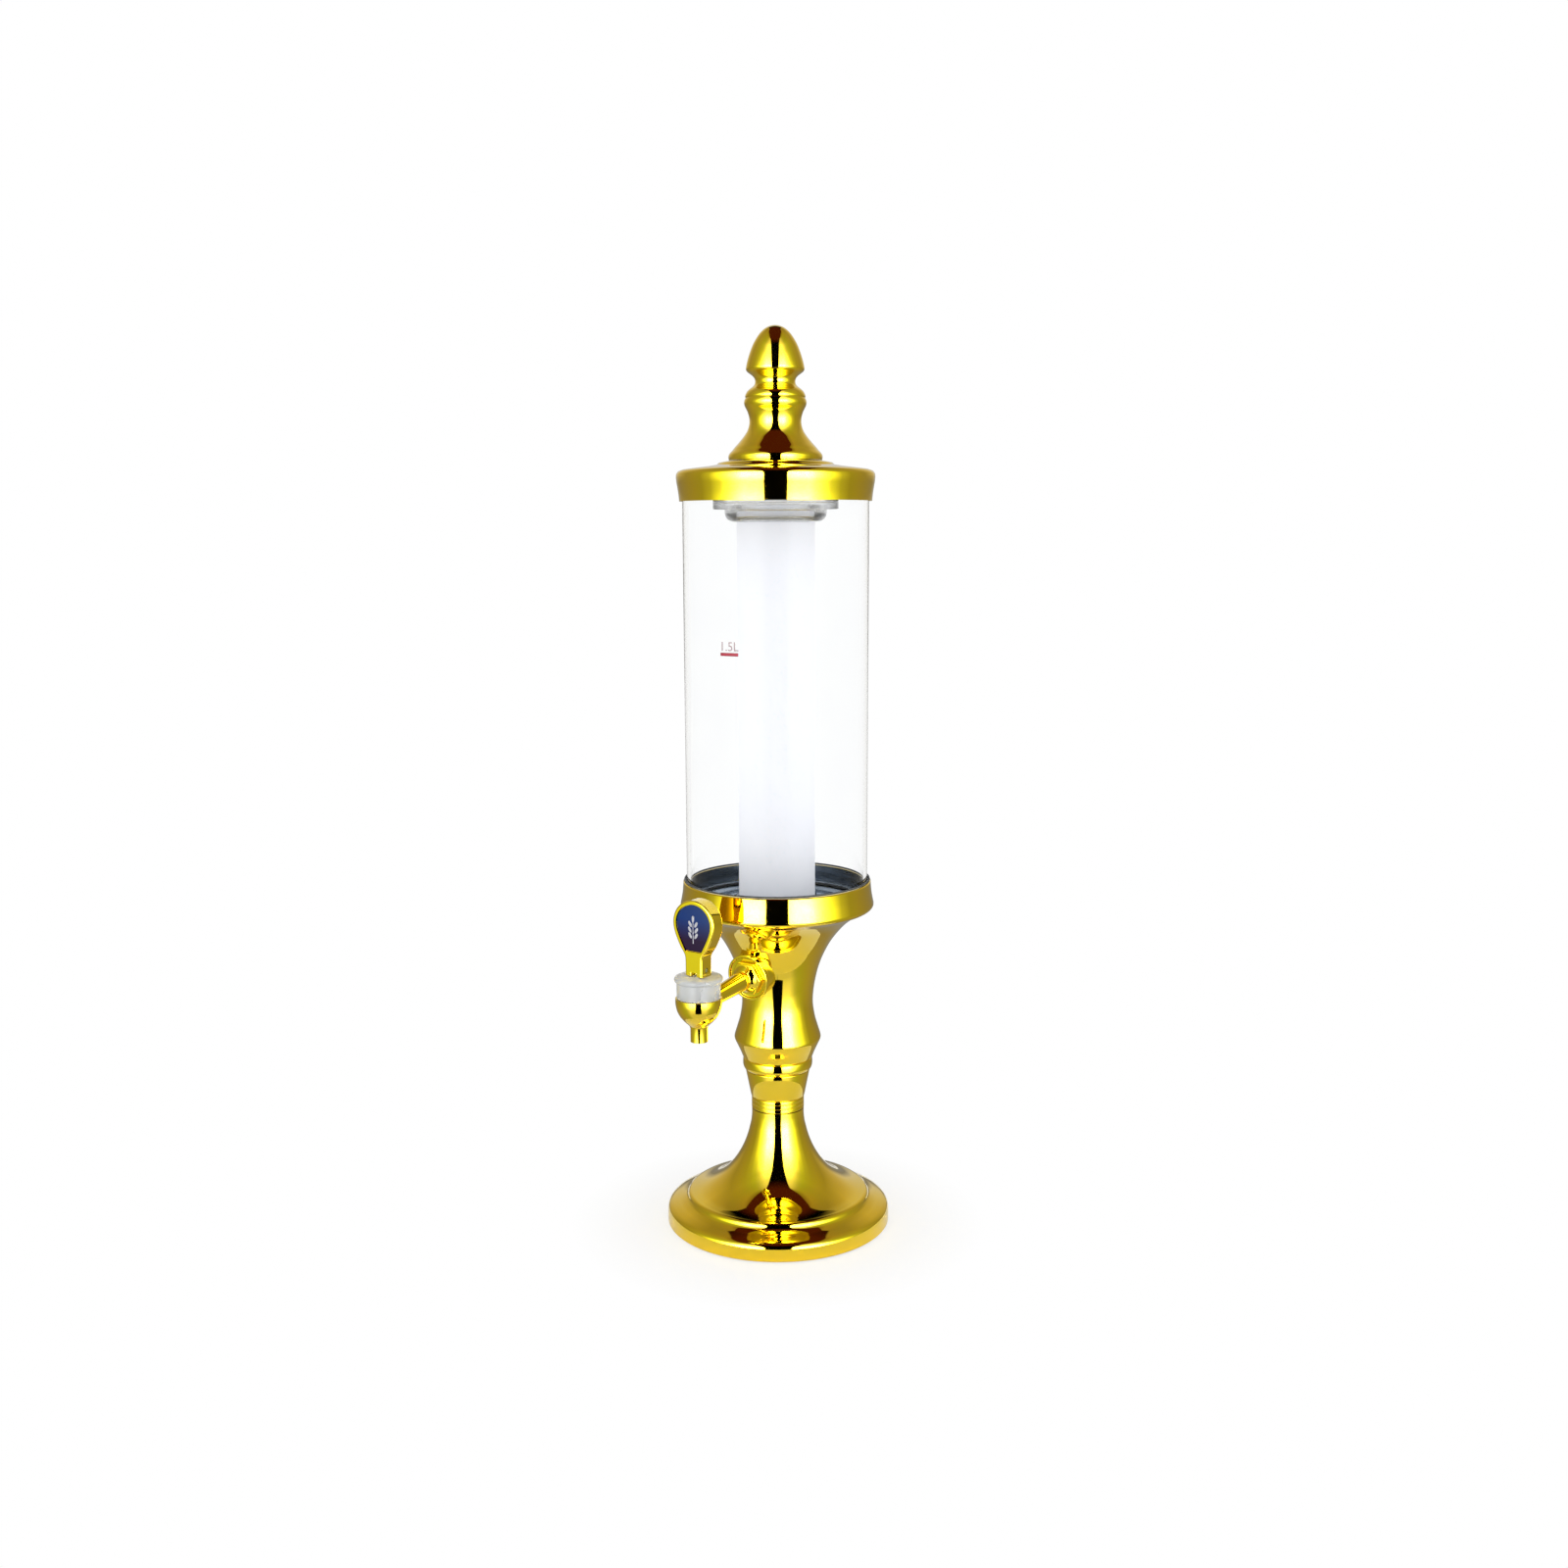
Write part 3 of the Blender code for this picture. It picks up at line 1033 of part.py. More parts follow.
lever_low = pivot_height - HEEL_HEIGHT
lever_top = lever_low + LEVER_HEIGHT
paddle_low = lever_top - PADDLE_HEIGHT
paddle_wide = lever_top - PADDLE_TOP_HEIGHT


def paddle_side():
    # From the top of the paddle down its right side to where it meets the stem
    half = PADDLE_WIDTH / 2
    stem_half = LEVER_WIDTH / 2
    line = []
    for i in range(TOP_ARC_STEPS):
        angle = math.pi / 2 * (1 - i / TOP_ARC_STEPS)
        line.append((half * math.cos(angle), paddle_wide + PADDLE_TOP_HEIGHT * math.sin(angle)))
    line += outline_between(PADDLE_SIDE_SHARES, stem_half, half, paddle_low, paddle_wide)
    return line


def plate(name, side, thickness, front, finish=None):
    # A flat piece in the X-Z plane from its right-hand side line, mirrored, front towards -Y
    right = [(x, z) for x, z in side if x > MERGE_DISTANCE]
    middle = [(x, z) for x, z in side if x <= MERGE_DISTANCE]
    loop = right + [(-x, z) for x, z in right[::-1]] + [(0.0, z) for _, z in middle]
    curve = bpy.data.curves.new(name, "CURVE")
    curve.dimensions = "2D"
    curve.fill_mode = "BOTH"
    curve.extrude = thickness / 2
    spline = curve.splines.new("POLY")
    spline.points.add(len(loop) - 1)
    for point, (x, z) in zip(spline.points, loop):
        point.co = (x, z, 0.0, 1.0)
    spline.use_cyclic_u = True
    drawn = bpy.data.objects.new(name + "_line", curve)
    tower.objects.link(drawn)
    drawn.location = (0.0, front + thickness / 2, 0.0)
    drawn.rotation_euler.x = math.pi / 2
    piece = mesh_of(drawn, name)
    if finish:
        piece.data.materials.append(finish)
    return piece


def heel_cutter():
    # Everything under the cam: its support grows at a steady rate with the lever's angle
    low = pivot_height - HEEL_HEIGHT - LEVER_DEPTH
    front = -LEVER_DEPTH
    line = [(LEVER_DEPTH, pivot_height - HEEL_HEIGHT)]
    for i in range(CAM_STEPS + 1):
        angle = LEVER_SWING * i / CAM_STEPS
        reach = HEEL_HEIGHT + cam_rate * angle
        line.append((-math.sin(angle) * reach - cam_rate * math.cos(angle),
                     pivot_height - math.cos(angle) * reach + cam_rate * math.sin(angle)))
    last_y, last_z = line[-1]
    line += [(front, last_z + (last_y - front) * math.tan(LEVER_SWING)), (front, low),
             (LEVER_DEPTH, low)]
    curve = bpy.data.curves.new("heel_cutter", "CURVE")
    curve.dimensions = "2D"
    curve.fill_mode = "BOTH"
    curve.extrude = LEVER_WIDTH
    spline = curve.splines.new("POLY")
    spline.points.add(len(line) - 1)
    for point, (y, z) in zip(spline.points, line):
        point.co = (y, z, 0.0, 1.0)
    spline.use_cyclic_u = True
    drawn = bpy.data.objects.new("heel_cutter_line", curve)
    tower.objects.link(drawn)
    drawn.matrix_world = (Matrix.Translation((0.0, -TAP_REACH, 0.0))
                          @ Matrix.Rotation(math.pi / 2, 4, "Z")
                          @ Matrix.Rotation(math.pi / 2, 4, "X"))
    return mesh_of(drawn, "heel_cutter")


def make_lever():
    front = -TAP_REACH - LEVER_DEPTH / 2
    side = paddle_side() + [(LEVER_WIDTH / 2, lever_low - HEEL_HEIGHT)]
    handle = plate("lever_handle", side, LEVER_DEPTH, front, gold)
    edge = handle.modifiers.new("Edge", "BEVEL")
    edge.width = LEVER_EDGE
    edge.segments = 2
    edge.limit_method = "ANGLE"
    edge.angle_limit = math.radians(50.0)
    cut(handle, heel_cutter())
    fork_half = STEM_RADIUS + SEAT_GAP
    slot = box("fork_slot", (-fork_half, -TAP_REACH - LEVER_DEPTH, lever_low - LEVER_DEPTH),
               (fork_half, -TAP_REACH + LEVER_DEPTH, pivot_height + FORK_DEPTH))
    cut(handle, slot)
    eye = rod("lever_eye", PIN_RADIUS + SEAT_GAP, -LEVER_WIDTH, LEVER_WIDTH, SMALL_STEPS)
    eye.rotation_euler.y = math.pi / 2
    eye.location = (0.0, -TAP_REACH, pivot_height)
    cut(handle, eye)
    recess_side = badge_side(BADGE_FRAME)
    recess_depth = BADGE_THICKNESS + BADGE_SINK + SEAT_GAP
    recess = plate("badge_recess", recess_side, recess_depth + OVERRUN, front - OVERRUN)
    cut(handle, recess)
    badge = plate("badge_plate", badge_side(BADGE_FRAME + SEAT_GAP), BADGE_THICKNESS,
                  front + BADGE_SINK, badge_blue)
    return [handle, badge]


def badge_side(frame):
    low = paddle_low + frame
    line = [(x, z) for x, z in inset(paddle_side(), frame) if z > low]
    line[0] = (0.0, line[0][1])
    line.append((radius_at(inset(paddle_side(), frame), low), low))
    return line


def joint_empty(name, place, pieces, parent=None):
    axis = bpy.data.objects.new(name, None)
    tower.objects.link(axis)
    axis.empty_display_size = TANK_WALL
    axis.matrix_world = Matrix.Translation(place)
    if parent:
        axis.parent = parent
        axis.matrix_parent_inverse = parent.matrix_world.inverted()
    for piece in pieces:
        piece.parent = axis
        piece.matrix_parent_inverse = Matrix.Translation(place).inverted()
    return axis


make_base()
make_foot_shell()
make_neck()
make_tie()
make_pedestal_cup()
make_tank_floor()
make_tank()
make_tap_fittings()
make_tap_body()
make_bonnet()
make_spring()
make_hose()
make_clamps()
valve_pieces = make_valve()
lever_pieces = make_lever()
tube = make_ice_tube()
cap_pieces = make_ice_cap()
lid_pieces = make_lid()

valve_axis = joint_empty("valve_axis", (0.0, -TAP_REACH, plug_bottom), valve_pieces)
joint_empty("lever_axis", (0.0, -TAP_REACH, pivot_height), lever_pieces, valve_axis)
tube_axis = joint_empty("ice_tube_axis", (0.0, 0.0, ice_bottom), [tube])
cap_axis = joint_empty("ice_cap_axis", (0.0, 0.0, cap_seat), cap_pieces, tube_axis)
joint_empty("lid_axis", (0.0, 0.0, lid_bottom), lid_pieces, cap_axis)
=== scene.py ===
import json
import math

import bpy
from mathutils import Matrix, Vector


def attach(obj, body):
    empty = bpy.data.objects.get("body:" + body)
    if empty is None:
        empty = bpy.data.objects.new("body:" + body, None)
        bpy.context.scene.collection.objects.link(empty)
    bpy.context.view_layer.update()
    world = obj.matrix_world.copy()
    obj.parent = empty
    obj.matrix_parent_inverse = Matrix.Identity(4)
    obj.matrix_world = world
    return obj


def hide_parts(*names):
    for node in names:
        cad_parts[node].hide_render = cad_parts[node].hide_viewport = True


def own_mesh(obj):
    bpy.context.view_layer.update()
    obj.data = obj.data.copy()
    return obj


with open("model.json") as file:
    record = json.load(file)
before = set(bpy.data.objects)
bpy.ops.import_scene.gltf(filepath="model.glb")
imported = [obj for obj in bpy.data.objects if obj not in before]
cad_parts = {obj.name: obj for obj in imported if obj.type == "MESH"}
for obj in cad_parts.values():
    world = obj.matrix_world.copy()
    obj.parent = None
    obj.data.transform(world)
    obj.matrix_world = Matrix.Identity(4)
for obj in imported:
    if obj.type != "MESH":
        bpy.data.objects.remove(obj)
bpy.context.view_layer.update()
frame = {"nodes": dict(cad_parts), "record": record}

mm = 0.001
bpy.ops.object.select_all(action="DESELECT")
scene = bpy.context.scene


# Small helpers used by every piece

def note(stage):
    print("tower:", stage)


def rest():
    if bpy.context.mode != "OBJECT":
        bpy.ops.object.mode_set(mode="OBJECT")
    bpy.ops.object.select_all(action="DESELECT")


def pick(piece):
    rest()
    piece.select_set(True)
    bpy.context.view_layer.objects.active = piece


def editAll(piece):
    pick(piece)
    bpy.ops.object.mode_set(mode="EDIT")
    bpy.ops.mesh.select_all(action="SELECT")


def closeUp(piece, smoothUnder=35.0):
    # Merges doubles, turns the faces outwards and shades soft curves smooth
    editAll(piece)
    bpy.ops.mesh.remove_doubles(threshold=0.002 * mm)
    bpy.ops.mesh.normals_make_consistent(inside=False)
    bpy.ops.object.mode_set(mode="OBJECT")
    bpy.ops.object.shade_smooth_by_angle(angle=math.radians(smoothUnder))


def settle(piece):
    # Puts the object's place and turn into its mesh
    pick(piece)
    bpy.ops.object.transform_apply(location=True, rotation=True, scale=True)


def useModifier(piece, kind, **settings):
    pick(piece)
    modifier = piece.modifiers.new(kind.title(), kind)
    for name, value in settings.items():
        setattr(modifier, name, value)
    bpy.ops.object.modifier_apply(modifier=modifier.name)


def trim(piece, tool, operation="DIFFERENCE"):
    useModifier(piece, "BOOLEAN", operation=operation, solver="EXACT", object=tool)
    bpy.data.objects.remove(tool, do_unlink=True)


def drawLine(name, points, closed):
    # One vertex drawn out from point to point
    rest()
    bpy.ops.mesh.primitive_plane_add(size=mm, location=points[0])
    piece = bpy.context.object
    piece.name = piece.data.name = name
    bpy.ops.object.mode_set(mode="EDIT")
    bpy.ops.mesh.merge(type="CENTER")
    here = Vector(points[0])
    for point in points[1:] + (points[:1] if closed else []):
        step = Vector(point) - here
        bpy.ops.mesh.extrude_vertices_move(TRANSFORM_OT_translate={"value": step})
        here = Vector(point)
    bpy.ops.mesh.select_all(action="SELECT")
    bpy.ops.mesh.remove_doubles(threshold=0.002 * mm)
    return piece


def flow(points, spans=4):
    # A smooth line through the points of a measured outline
    ends = [2 * Vector(points[0]) - Vector(points[1])]
    knots = ends + [Vector(p) for p in points] + [2 * Vector(points[-1]) - Vector(points[-2])]
    line = []
    for a, b, c, d in zip(knots, knots[1:], knots[2:], knots[3:]):
        ta = 0.0
        tb = ta + (b - a).length ** 0.5
        tc = tb + (c - b).length ** 0.5
        td = tc + (d - c).length ** 0.5
        for i in range(spans):
            t = tb + (tc - tb) * i / spans
            ab = a * (tb - t) / (tb - ta) + b * (t - ta) / (tb - ta)
            bc = b * (tc - t) / (tc - tb) + c * (t - tb) / (tc - tb)
            cd = c * (td - t) / (td - tc) + d * (t - tc) / (td - tc)
            abc = ab * (tc - t) / (tc - ta) + bc * (t - ta) / (tc - ta)
            bcd = bc * (td - t) / (td - tb) + cd * (t - tb) / (td - tb)
            line.append(tuple(abc * (tc - t) / (tc - tb) + bcd * (t - tb) / (tc - tb)))
    line.append(tuple(points[-1]))
    return line


def soften(line, radius, closed=True, sharpest=24.0):
    # Rounds every corner sharper than the given angle
    softened = []
    last = len(line) - 1
    for i, corner in enumerate(line):
        if not closed and i in (0, last):
            softened.append(corner)
            continue
        here = Vector(corner)
        before = Vector(line[i - 1]) - here
        after = Vector(line[i + 1 if i < last else 0]) - here
        if (-before).angle(after) < math.radians(sharpest):
            softened.append(corner)
            continue
        reach = min(radius, before.length * 0.45, after.length * 0.45)
        start = here + before.normalized() * reach
        end = here + after.normalized() * reach
        for step in range(5):
            t = step / 4
            softened.append(tuple((1 - t) ** 2 * start + 2 * t * (1 - t) * here + t * t * end))
    return softened


def turn(name, outline, steps=160, smoothUnder=35.0):
    # Turns an outline of (radius, height) in mm about Z; it closes unless it starts on the axis
    closed = outline[0][0] > 0.0 or outline[-1][0] > 0.0
    points = [(radius * mm, 0.0, height * mm) for radius, height in outline]
    piece = drawLine(name, points, closed)
    bpy.ops.mesh.spin(steps=steps, angle=math.tau, center=(0, 0, 0), axis=(0, 0, 1))
    settle(piece)
    closeUp(piece, smoothUnder)
    return piece


def plate(name, outline, depth, smoothUnder=35.0):
    # A flat piece from an outline of (x, z) in mm, from y = 0 back to its depth
    piece = drawLine(name, [(x * mm, 0.0, z * mm) for x, z in outline], True)
    bpy.ops.mesh.edge_face_add()
    bpy.ops.mesh.extrude_region_move(TRANSFORM_OT_translate={"value": (0.0, depth * mm, 0.0)})
    settle(piece)
    closeUp(piece, smoothUnder)
    return piece


def moveTo(piece, spot=(0.0, 0.0, 0.0), turnX=0.0, turnY=0.0, turnZ=0.0):
    # Turns the piece about the axes and puts it at a spot in mm
    piece.rotation_euler = (turnX, turnY, turnZ)
    piece.location = [value * mm for value in spot]
    settle(piece)
    return piece


def place(piece, body, slot, finish, *nodes):
    # Gives the piece its finish and body, and hides the CAD nodes it stands for
    piece.data.materials.clear()
    piece.data.materials.append(finish)
    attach(piece, body)
    if nodes:
        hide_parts(*nodes)
    return piece


# Finishes

def newFinish(name):
    finish = bpy.data.materials.new(name)
    finish.use_nodes = True
    return finish, finish.node_tree, finish.node_tree.nodes["Principled BSDF"]


def objectNoise(tree, scale, detail=2.0, roughness=0.5, stretch=(1.0, 1.0, 1.0)):
    coords = tree.nodes.new("ShaderNodeTexCoord")
    mapping = tree.nodes.new("ShaderNodeMapping")
    mapping.inputs["Scale"].default_value = stretch
    tree.links.new(coords.outputs["Object"], mapping.inputs["Vector"])
    noise = tree.nodes.new("ShaderNodeTexNoise")
    noise.inputs["Scale"].default_value = scale
    noise.inputs["Detail"].default_value = detail
    noise.inputs["Roughness"].default_value = roughness
    tree.links.new(mapping.outputs["Vector"], noise.inputs["Vector"])
    return noise.outputs["Fac"]


def spread(tree, value, low, high, fromLow=0.3, fromHigh=0.7):
    mapped = tree.nodes.new("ShaderNodeMapRange")
    mapped.inputs["From Min"].default_value = fromLow
    mapped.inputs["From Max"].default_value = fromHigh
    mapped.inputs["To Min"].default_value = low
    mapped.inputs["To Max"].default_value = high
    tree.links.new(value, mapped.inputs["Value"])
    return mapped.outputs["Result"]


def blendColours(tree, value, first, second):
    mix = tree.nodes.new("ShaderNodeMix")
    mix.data_type = "RGBA"
    mix.inputs["A"].default_value = (*first, 1.0)
    mix.inputs["B"].default_value = (*second, 1.0)
    tree.links.new(value, mix.inputs["Factor"])
    return mix.outputs["Result"]


def relief(tree, shader, value, distance, strength=1.0):
    bump = tree.nodes.new("ShaderNodeBump")
    bump.inputs["Strength"].default_value = strength
    bump.inputs["Distance"].default_value = distance
    tree.links.new(value, bump.inputs["Height"])
    tree.links.new(bump.outputs["Normal"], shader.inputs["Normal"])


def setSockets(shader, **values):
    # Coat_Weight=0.5 sets the socket "Coat Weight"
    for name, value in values.items():
        shader.inputs[name.replace("_", " ")].default_value = value


goldLook = {
    "deep": (0.84, 0.60, 0.014),
    "light": (0.88, 0.64, 0.022),
    "roughness": (0.03, 0.06),
    "skin": 0.0000008,  # height of the relief, in metres
    "coat": 0.6,
}


def goldPlate():
    # Plated gold under a thin clear coat, with a very slight unevenness
    finish, tree, shader = newFinish("goldPlate")
    setSockets(shader, Metallic=1.0, Coat_Weight=goldLook["coat"], Coat_IOR=1.5,
               Coat_Roughness=0.02)
    wide = objectNoise(tree, 22.0, 3.0)
    tree.links.new(blendColours(tree, spread(tree, wide, 0.0, 1.0),
                                goldLook["deep"], goldLook["light"]),
                   shader.inputs["Base Color"])
    fine = objectNoise(tree, 160.0, 4.0)
    tree.links.new(spread(tree, fine, *goldLook["roughness"]), shader.inputs["Roughness"])
    relief(tree, shader, objectNoise(tree, 420.0, 2.0), goldLook["skin"])
    return finish


gold = goldPlate()


def plainMetal(name, colour, roughness, skin=0.00002, scale=260.0, stretch=(1.0, 1.0, 1.0),
               shade=0.88):
    finish, tree, shader = newFinish(name)
    setSockets(shader, Metallic=1.0)
    grain = objectNoise(tree, scale, 4.0, stretch=stretch)
    darker = tuple(shade * c for c in colour)
    tree.links.new(blendColours(tree, spread(tree, grain, 0.0, 1.0), darker, colour),
                   shader.inputs["Base Color"])
    tree.links.new(spread(tree, grain, roughness * 0.8, roughness * 1.3),
                   shader.inputs["Roughness"])
    relief(tree, shader, grain, skin)
    return finish


def plainPlastic(name, colour, roughness, skin=0.00003, scale=500.0, sheen=0.0):
    finish, tree, shader = newFinish(name)
    grain = objectNoise(tree, scale, 3.0)
    darker = tuple(0.85 * c for c in colour)
    tree.links.new(blendColours(tree, spread(tree, grain, 0.0, 1.0), darker, colour),
                   shader.inputs["Base Color"])
    tree.links.new(spread(tree, grain, roughness * 0.85, roughness * 1.15),
                   shader.inputs["Roughness"])
    relief(tree, shader, grain, skin)
    shader.inputs["Sheen Weight"].default_value = sheen
    return finish


def clearPlastic(name, tint, roughness, ior, clear=1.0):
    finish, tree, shader = newFinish(name)
    setSockets(shader, Transmission_Weight=clear, IOR=ior)
    haze = objectNoise(tree, 40.0, 3.0)
    paler = tuple(min(1.0, 1.01 * c) for c in tint)
    tree.links.new(blendColours(tree, spread(tree, haze, 0.0, 1.0), tint, paler),
                   shader.inputs["Base Color"])
    tree.links.new(spread(tree, haze, *roughness), shader.inputs["Roughness"])
    return finish


satinMetal = plainMetal("satinMetal", (0.32, 0.38, 0.46), 0.22, 0.00001, 300.0,
                        (0.03, 0.03, 1.0), 0.5)
brightSteel = plainMetal("brightSteel", (0.66, 0.66, 0.64), 0.24)
castIron = plainMetal("castIron", (0.10, 0.10, 0.10), 0.65, 0.0003, 120.0)
darkRubber = plainPlastic("darkRubber", (0.045, 0.048, 0.052), 0.75, sheen=0.1)
blackPlastic = plainPlastic("blackPlastic", (0.03, 0.03, 0.03), 0.5)
paleSilicone = plainPlastic("paleSilicone", (0.78, 0.77, 0.73), 0.5)
clearTank = clearPlastic("clearTank", (0.985, 0.99, 0.995), (0.0, 0.01), 1.1)
clearMoulding = clearPlastic("clearMoulding", (0.98, 0.985, 1.0), (0.08, 0.2), 1.3)
glowingFrostedTube = plainPlastic("glowingFrostedTube", (0.92, 0.93, 0.985), 0.6, 0.00001)
# The emission is a painted glow: it lifts the frosted tube's brightness, though the tube is no
# lamp
setSockets(glowingFrostedTube.node_tree.nodes["Principled BSDF"], Specular_IOR_Level=0.1,
           Emission_Color=(0.94, 0.96, 1.0, 1.0), Emission_Strength=0.2)
milkyMoulding = clearPlastic("milkyMoulding", (0.90, 0.92, 0.93), (0.2, 0.32), 1.35, 0.5)
markRed = plainPlastic("markRed", (0.50, 0.03, 0.07), 0.4, 0.0)
markGrey = plainPlastic("markGrey", (0.42, 0.30, 0.34), 0.4, 0.0)
motifSilver = plainPlastic("motifSilver", (0.62, 0.62, 0.70), 0.3, 0.0)


def enamel(name, top, bottom, low, high):
    # Deep blue above, violet below, under a clear dome
    finish, tree, shader = newFinish(name)
    setSockets(shader, Roughness=0.12, Specular_IOR_Level=0.25)
    coords = tree.nodes.new("ShaderNodeTexCoord")
    split = tree.nodes.new("ShaderNodeSeparateXYZ")
    tree.links.new(coords.outputs["Object"], split.inputs["Vector"])
    height = spread(tree, split.outputs["Z"], 0.0, 1.0, low * mm, high * mm)
    tree.links.new(blendColours(tree, height, bottom, top), shader.inputs["Base Color"])
    return finish


badgeBlue = enamel("badgeBlue", (0.004, 0.035, 0.21), (0.022, 0.004, 0.05), 213.0, 226.0)

note("finishes ready")

# CAD nodes keep their shape and take the finishes

slotFinish = {
    "gold": gold, "clear_acrylic": clearMoulding, "frosted_acrylic": glowingFrostedTube,
    "satin_metal": satinMetal, "rubber": darkRubber, "silicone": paleSilicone,
    "steel": brightSteel, "ballast_iron": castIron, "cover_plastic": blackPlastic,
    "badge_enamel": badgeBlue,
}
nodeSlot = {entry["node"]: entry["material_slot"] for entry in frame["record"]["subparts"]}
for name, node in frame["nodes"].items():
    node.data.materials.clear()
    node.data.materials.append(slotFinish[nodeSlot[name]])

# Weighted foot

foot = {  # every outline is (radius, height) in mm
    "neck": [(17.5, 79.0), (17.5, 74.5), (18.1, 69.0), (18.8, 66.0), (20.2, 60.5), (22.7, 53.5),
             (25.8, 47.1), (30.2, 40.2), (36.6, 32.9), (45.0, 26.7), (52.0, 23.2), (58.0, 21.2)],
    "bead": [(59.6, 20.9), (60.6, 20.0), (61.4, 18.2), (62.6, 17.0)],
    "slope": [(67.0, 15.2), (71.2, 13.4)],
    "rim": [(73.4, 12.2), (74.4, 11.0), (74.8, 9.6), (74.95, 8.2)],
    "side": [(75.0, 7.0), (75.0, 1.5), (74.5, 1.0)],
    "inside": [(72.8, 1.0), (72.8, 9.5), (69.5, 12.2), (62.5, 14.7), (59.8, 18.4), (51.0, 21.2),
               (44.0, 24.8), (35.1, 31.2), (28.4, 38.9), (23.9, 46.1), (20.6, 52.8),
               (18.1, 60.0), (16.6, 66.0), (15.5, 74.0), (4.6, 74.0), (4.6, 79.0)],
}
outer = (flow(foot["neck"]) + flow(foot["bead"], 3) + foot["slope"] + flow(foot["rim"], 3)
         + foot["side"])
footPiece = turn("footShell", outer + foot["inside"], 192)
place(footPiece, "stand", "gold", gold, "foot_shell")

# Neck: band, sleeve and ring between foot and pedestal

band = {"radius": 17.6, "low": 79.3, "high": 87.8, "groove": 0.45, "grooves": (82.1, 85.0)}
outline = [(4.6, band["high"]), (band["radius"] - 0.5, band["high"]),
           (band["radius"], band["high"] - 0.5)]
for height in sorted(band["grooves"], reverse=True):
    outline += [(band["radius"], height + band["groove"]),
                (band["radius"] - band["groove"], height),
                (band["radius"], height - band["groove"])]
outline += [(band["radius"], band["low"] + 0.4), (band["radius"] - 0.4, band["low"]),
            (4.6, band["low"])]
place(turn("lowerBand", soften(outline, 0.15)), "stand", "gold", gold, "lower_band")

sleeve = {"low": (18.0, 88.1), "high": (21.6, 106.3), "wall": 2.2}
outline = [sleeve["high"], sleeve["low"],
           (sleeve["low"][0] - sleeve["wall"], sleeve["low"][1]),
           (sleeve["high"][0] - sleeve["wall"], sleeve["high"][1])]
place(turn("neckSleeve", soften(outline, 0.35)), "stand", "gold", gold, "neck_sleeve")

ring = {"outer": [(22.1, 114.9), (23.0, 114.0), (23.3, 111.6), (23.1, 109.0), (22.3, 107.2),
                  (21.6, 106.6)],
        "low": 106.6, "high": 114.9}
outline = [(4.6, ring["high"])] + flow(ring["outer"]) + [(4.6, ring["low"])]
place(turn("neckRing", outline), "stand", "gold", gold, "neck_ring")

# Pedestal: bulb, waist, flare and the cup that holds the tank

pedestal = {
    "lip": [(59.7, 236.0), (61.2, 236.0), (61.8, 235.4)],
    "side": [(61.9, 233.0), (62.4, 228.0), (63.3, 223.0), (63.8, 220.6)],
    "under": [(63.7, 219.4), (62.9, 218.2), (61.0, 217.0)],
    "flare": [(58.6, 216.2), (55.0, 214.6), (50.6, 211.6), (45.8, 207.6), (40.6, 201.8),
              (36.0, 195.6), (32.2, 188.8), (29.4, 182.6), (27.2, 176.2), (25.6, 169.6),
              (24.4, 163.0), (23.7, 156.0), (23.7, 151.5), (24.3, 146.5), (25.4, 141.0),
              (26.9, 136.0), (28.2, 131.8)],
    "bulb": [(28.8, 129.8), (28.9, 128.4), (28.4, 126.8)],
    "low": [(26.9, 123.6), (25.0, 119.4), (23.8, 116.4), (23.4, 115.3)],
    "inside": [(4.6, 115.3), (4.6, 121.3), (22.0, 121.3), (26.0, 128.5), (22.0, 145.0),
               (21.3, 155.0), (22.5, 166.0), (26.0, 180.0), (33.0, 194.5), (42.0, 206.5),
               (50.5, 213.5), (54.0, 216.0), (54.0, 220.0), (59.7, 220.0)],
}
outline = (pedestal["lip"] + flow(pedestal["side"], 3) + flow(pedestal["under"], 4)
           + flow(pedestal["flare"]) + flow(pedestal["bulb"], 3) + flow(pedestal["low"], 4)
           + pedestal["inside"])
cup = turn("pedestalCup", outline, 192)

# Lid and finial

lid = {
    "crown": [(30.5, 506.5), (36.2, 505.4), (37.0, 504.6)],
    "slope": [(37.4, 504.2), (43.2, 503.2), (52.0, 502.1), (59.0, 501.2)],
    "edge": [(61.8, 500.2), (63.0, 498.6), (63.3, 496.4)],
    "skirt": [(63.0, 493.5), (62.4, 490.0), (61.8, 486.0), (61.5, 483.0), (61.4, 481.5)],
    "inside": [(59.7, 481.5), (59.7, 497.7), (56.3, 497.7), (40.0, 500.0), (28.0, 503.5),
               (2.6, 503.5), (2.6, 506.5)],
}
outline = (lid["crown"] + lid["slope"] + flow(lid["edge"], 4) + flow(lid["skirt"], 3)
           + lid["inside"])
place(turn("lidShell", outline, 192), "lid", "gold", gold, "lid_shell")

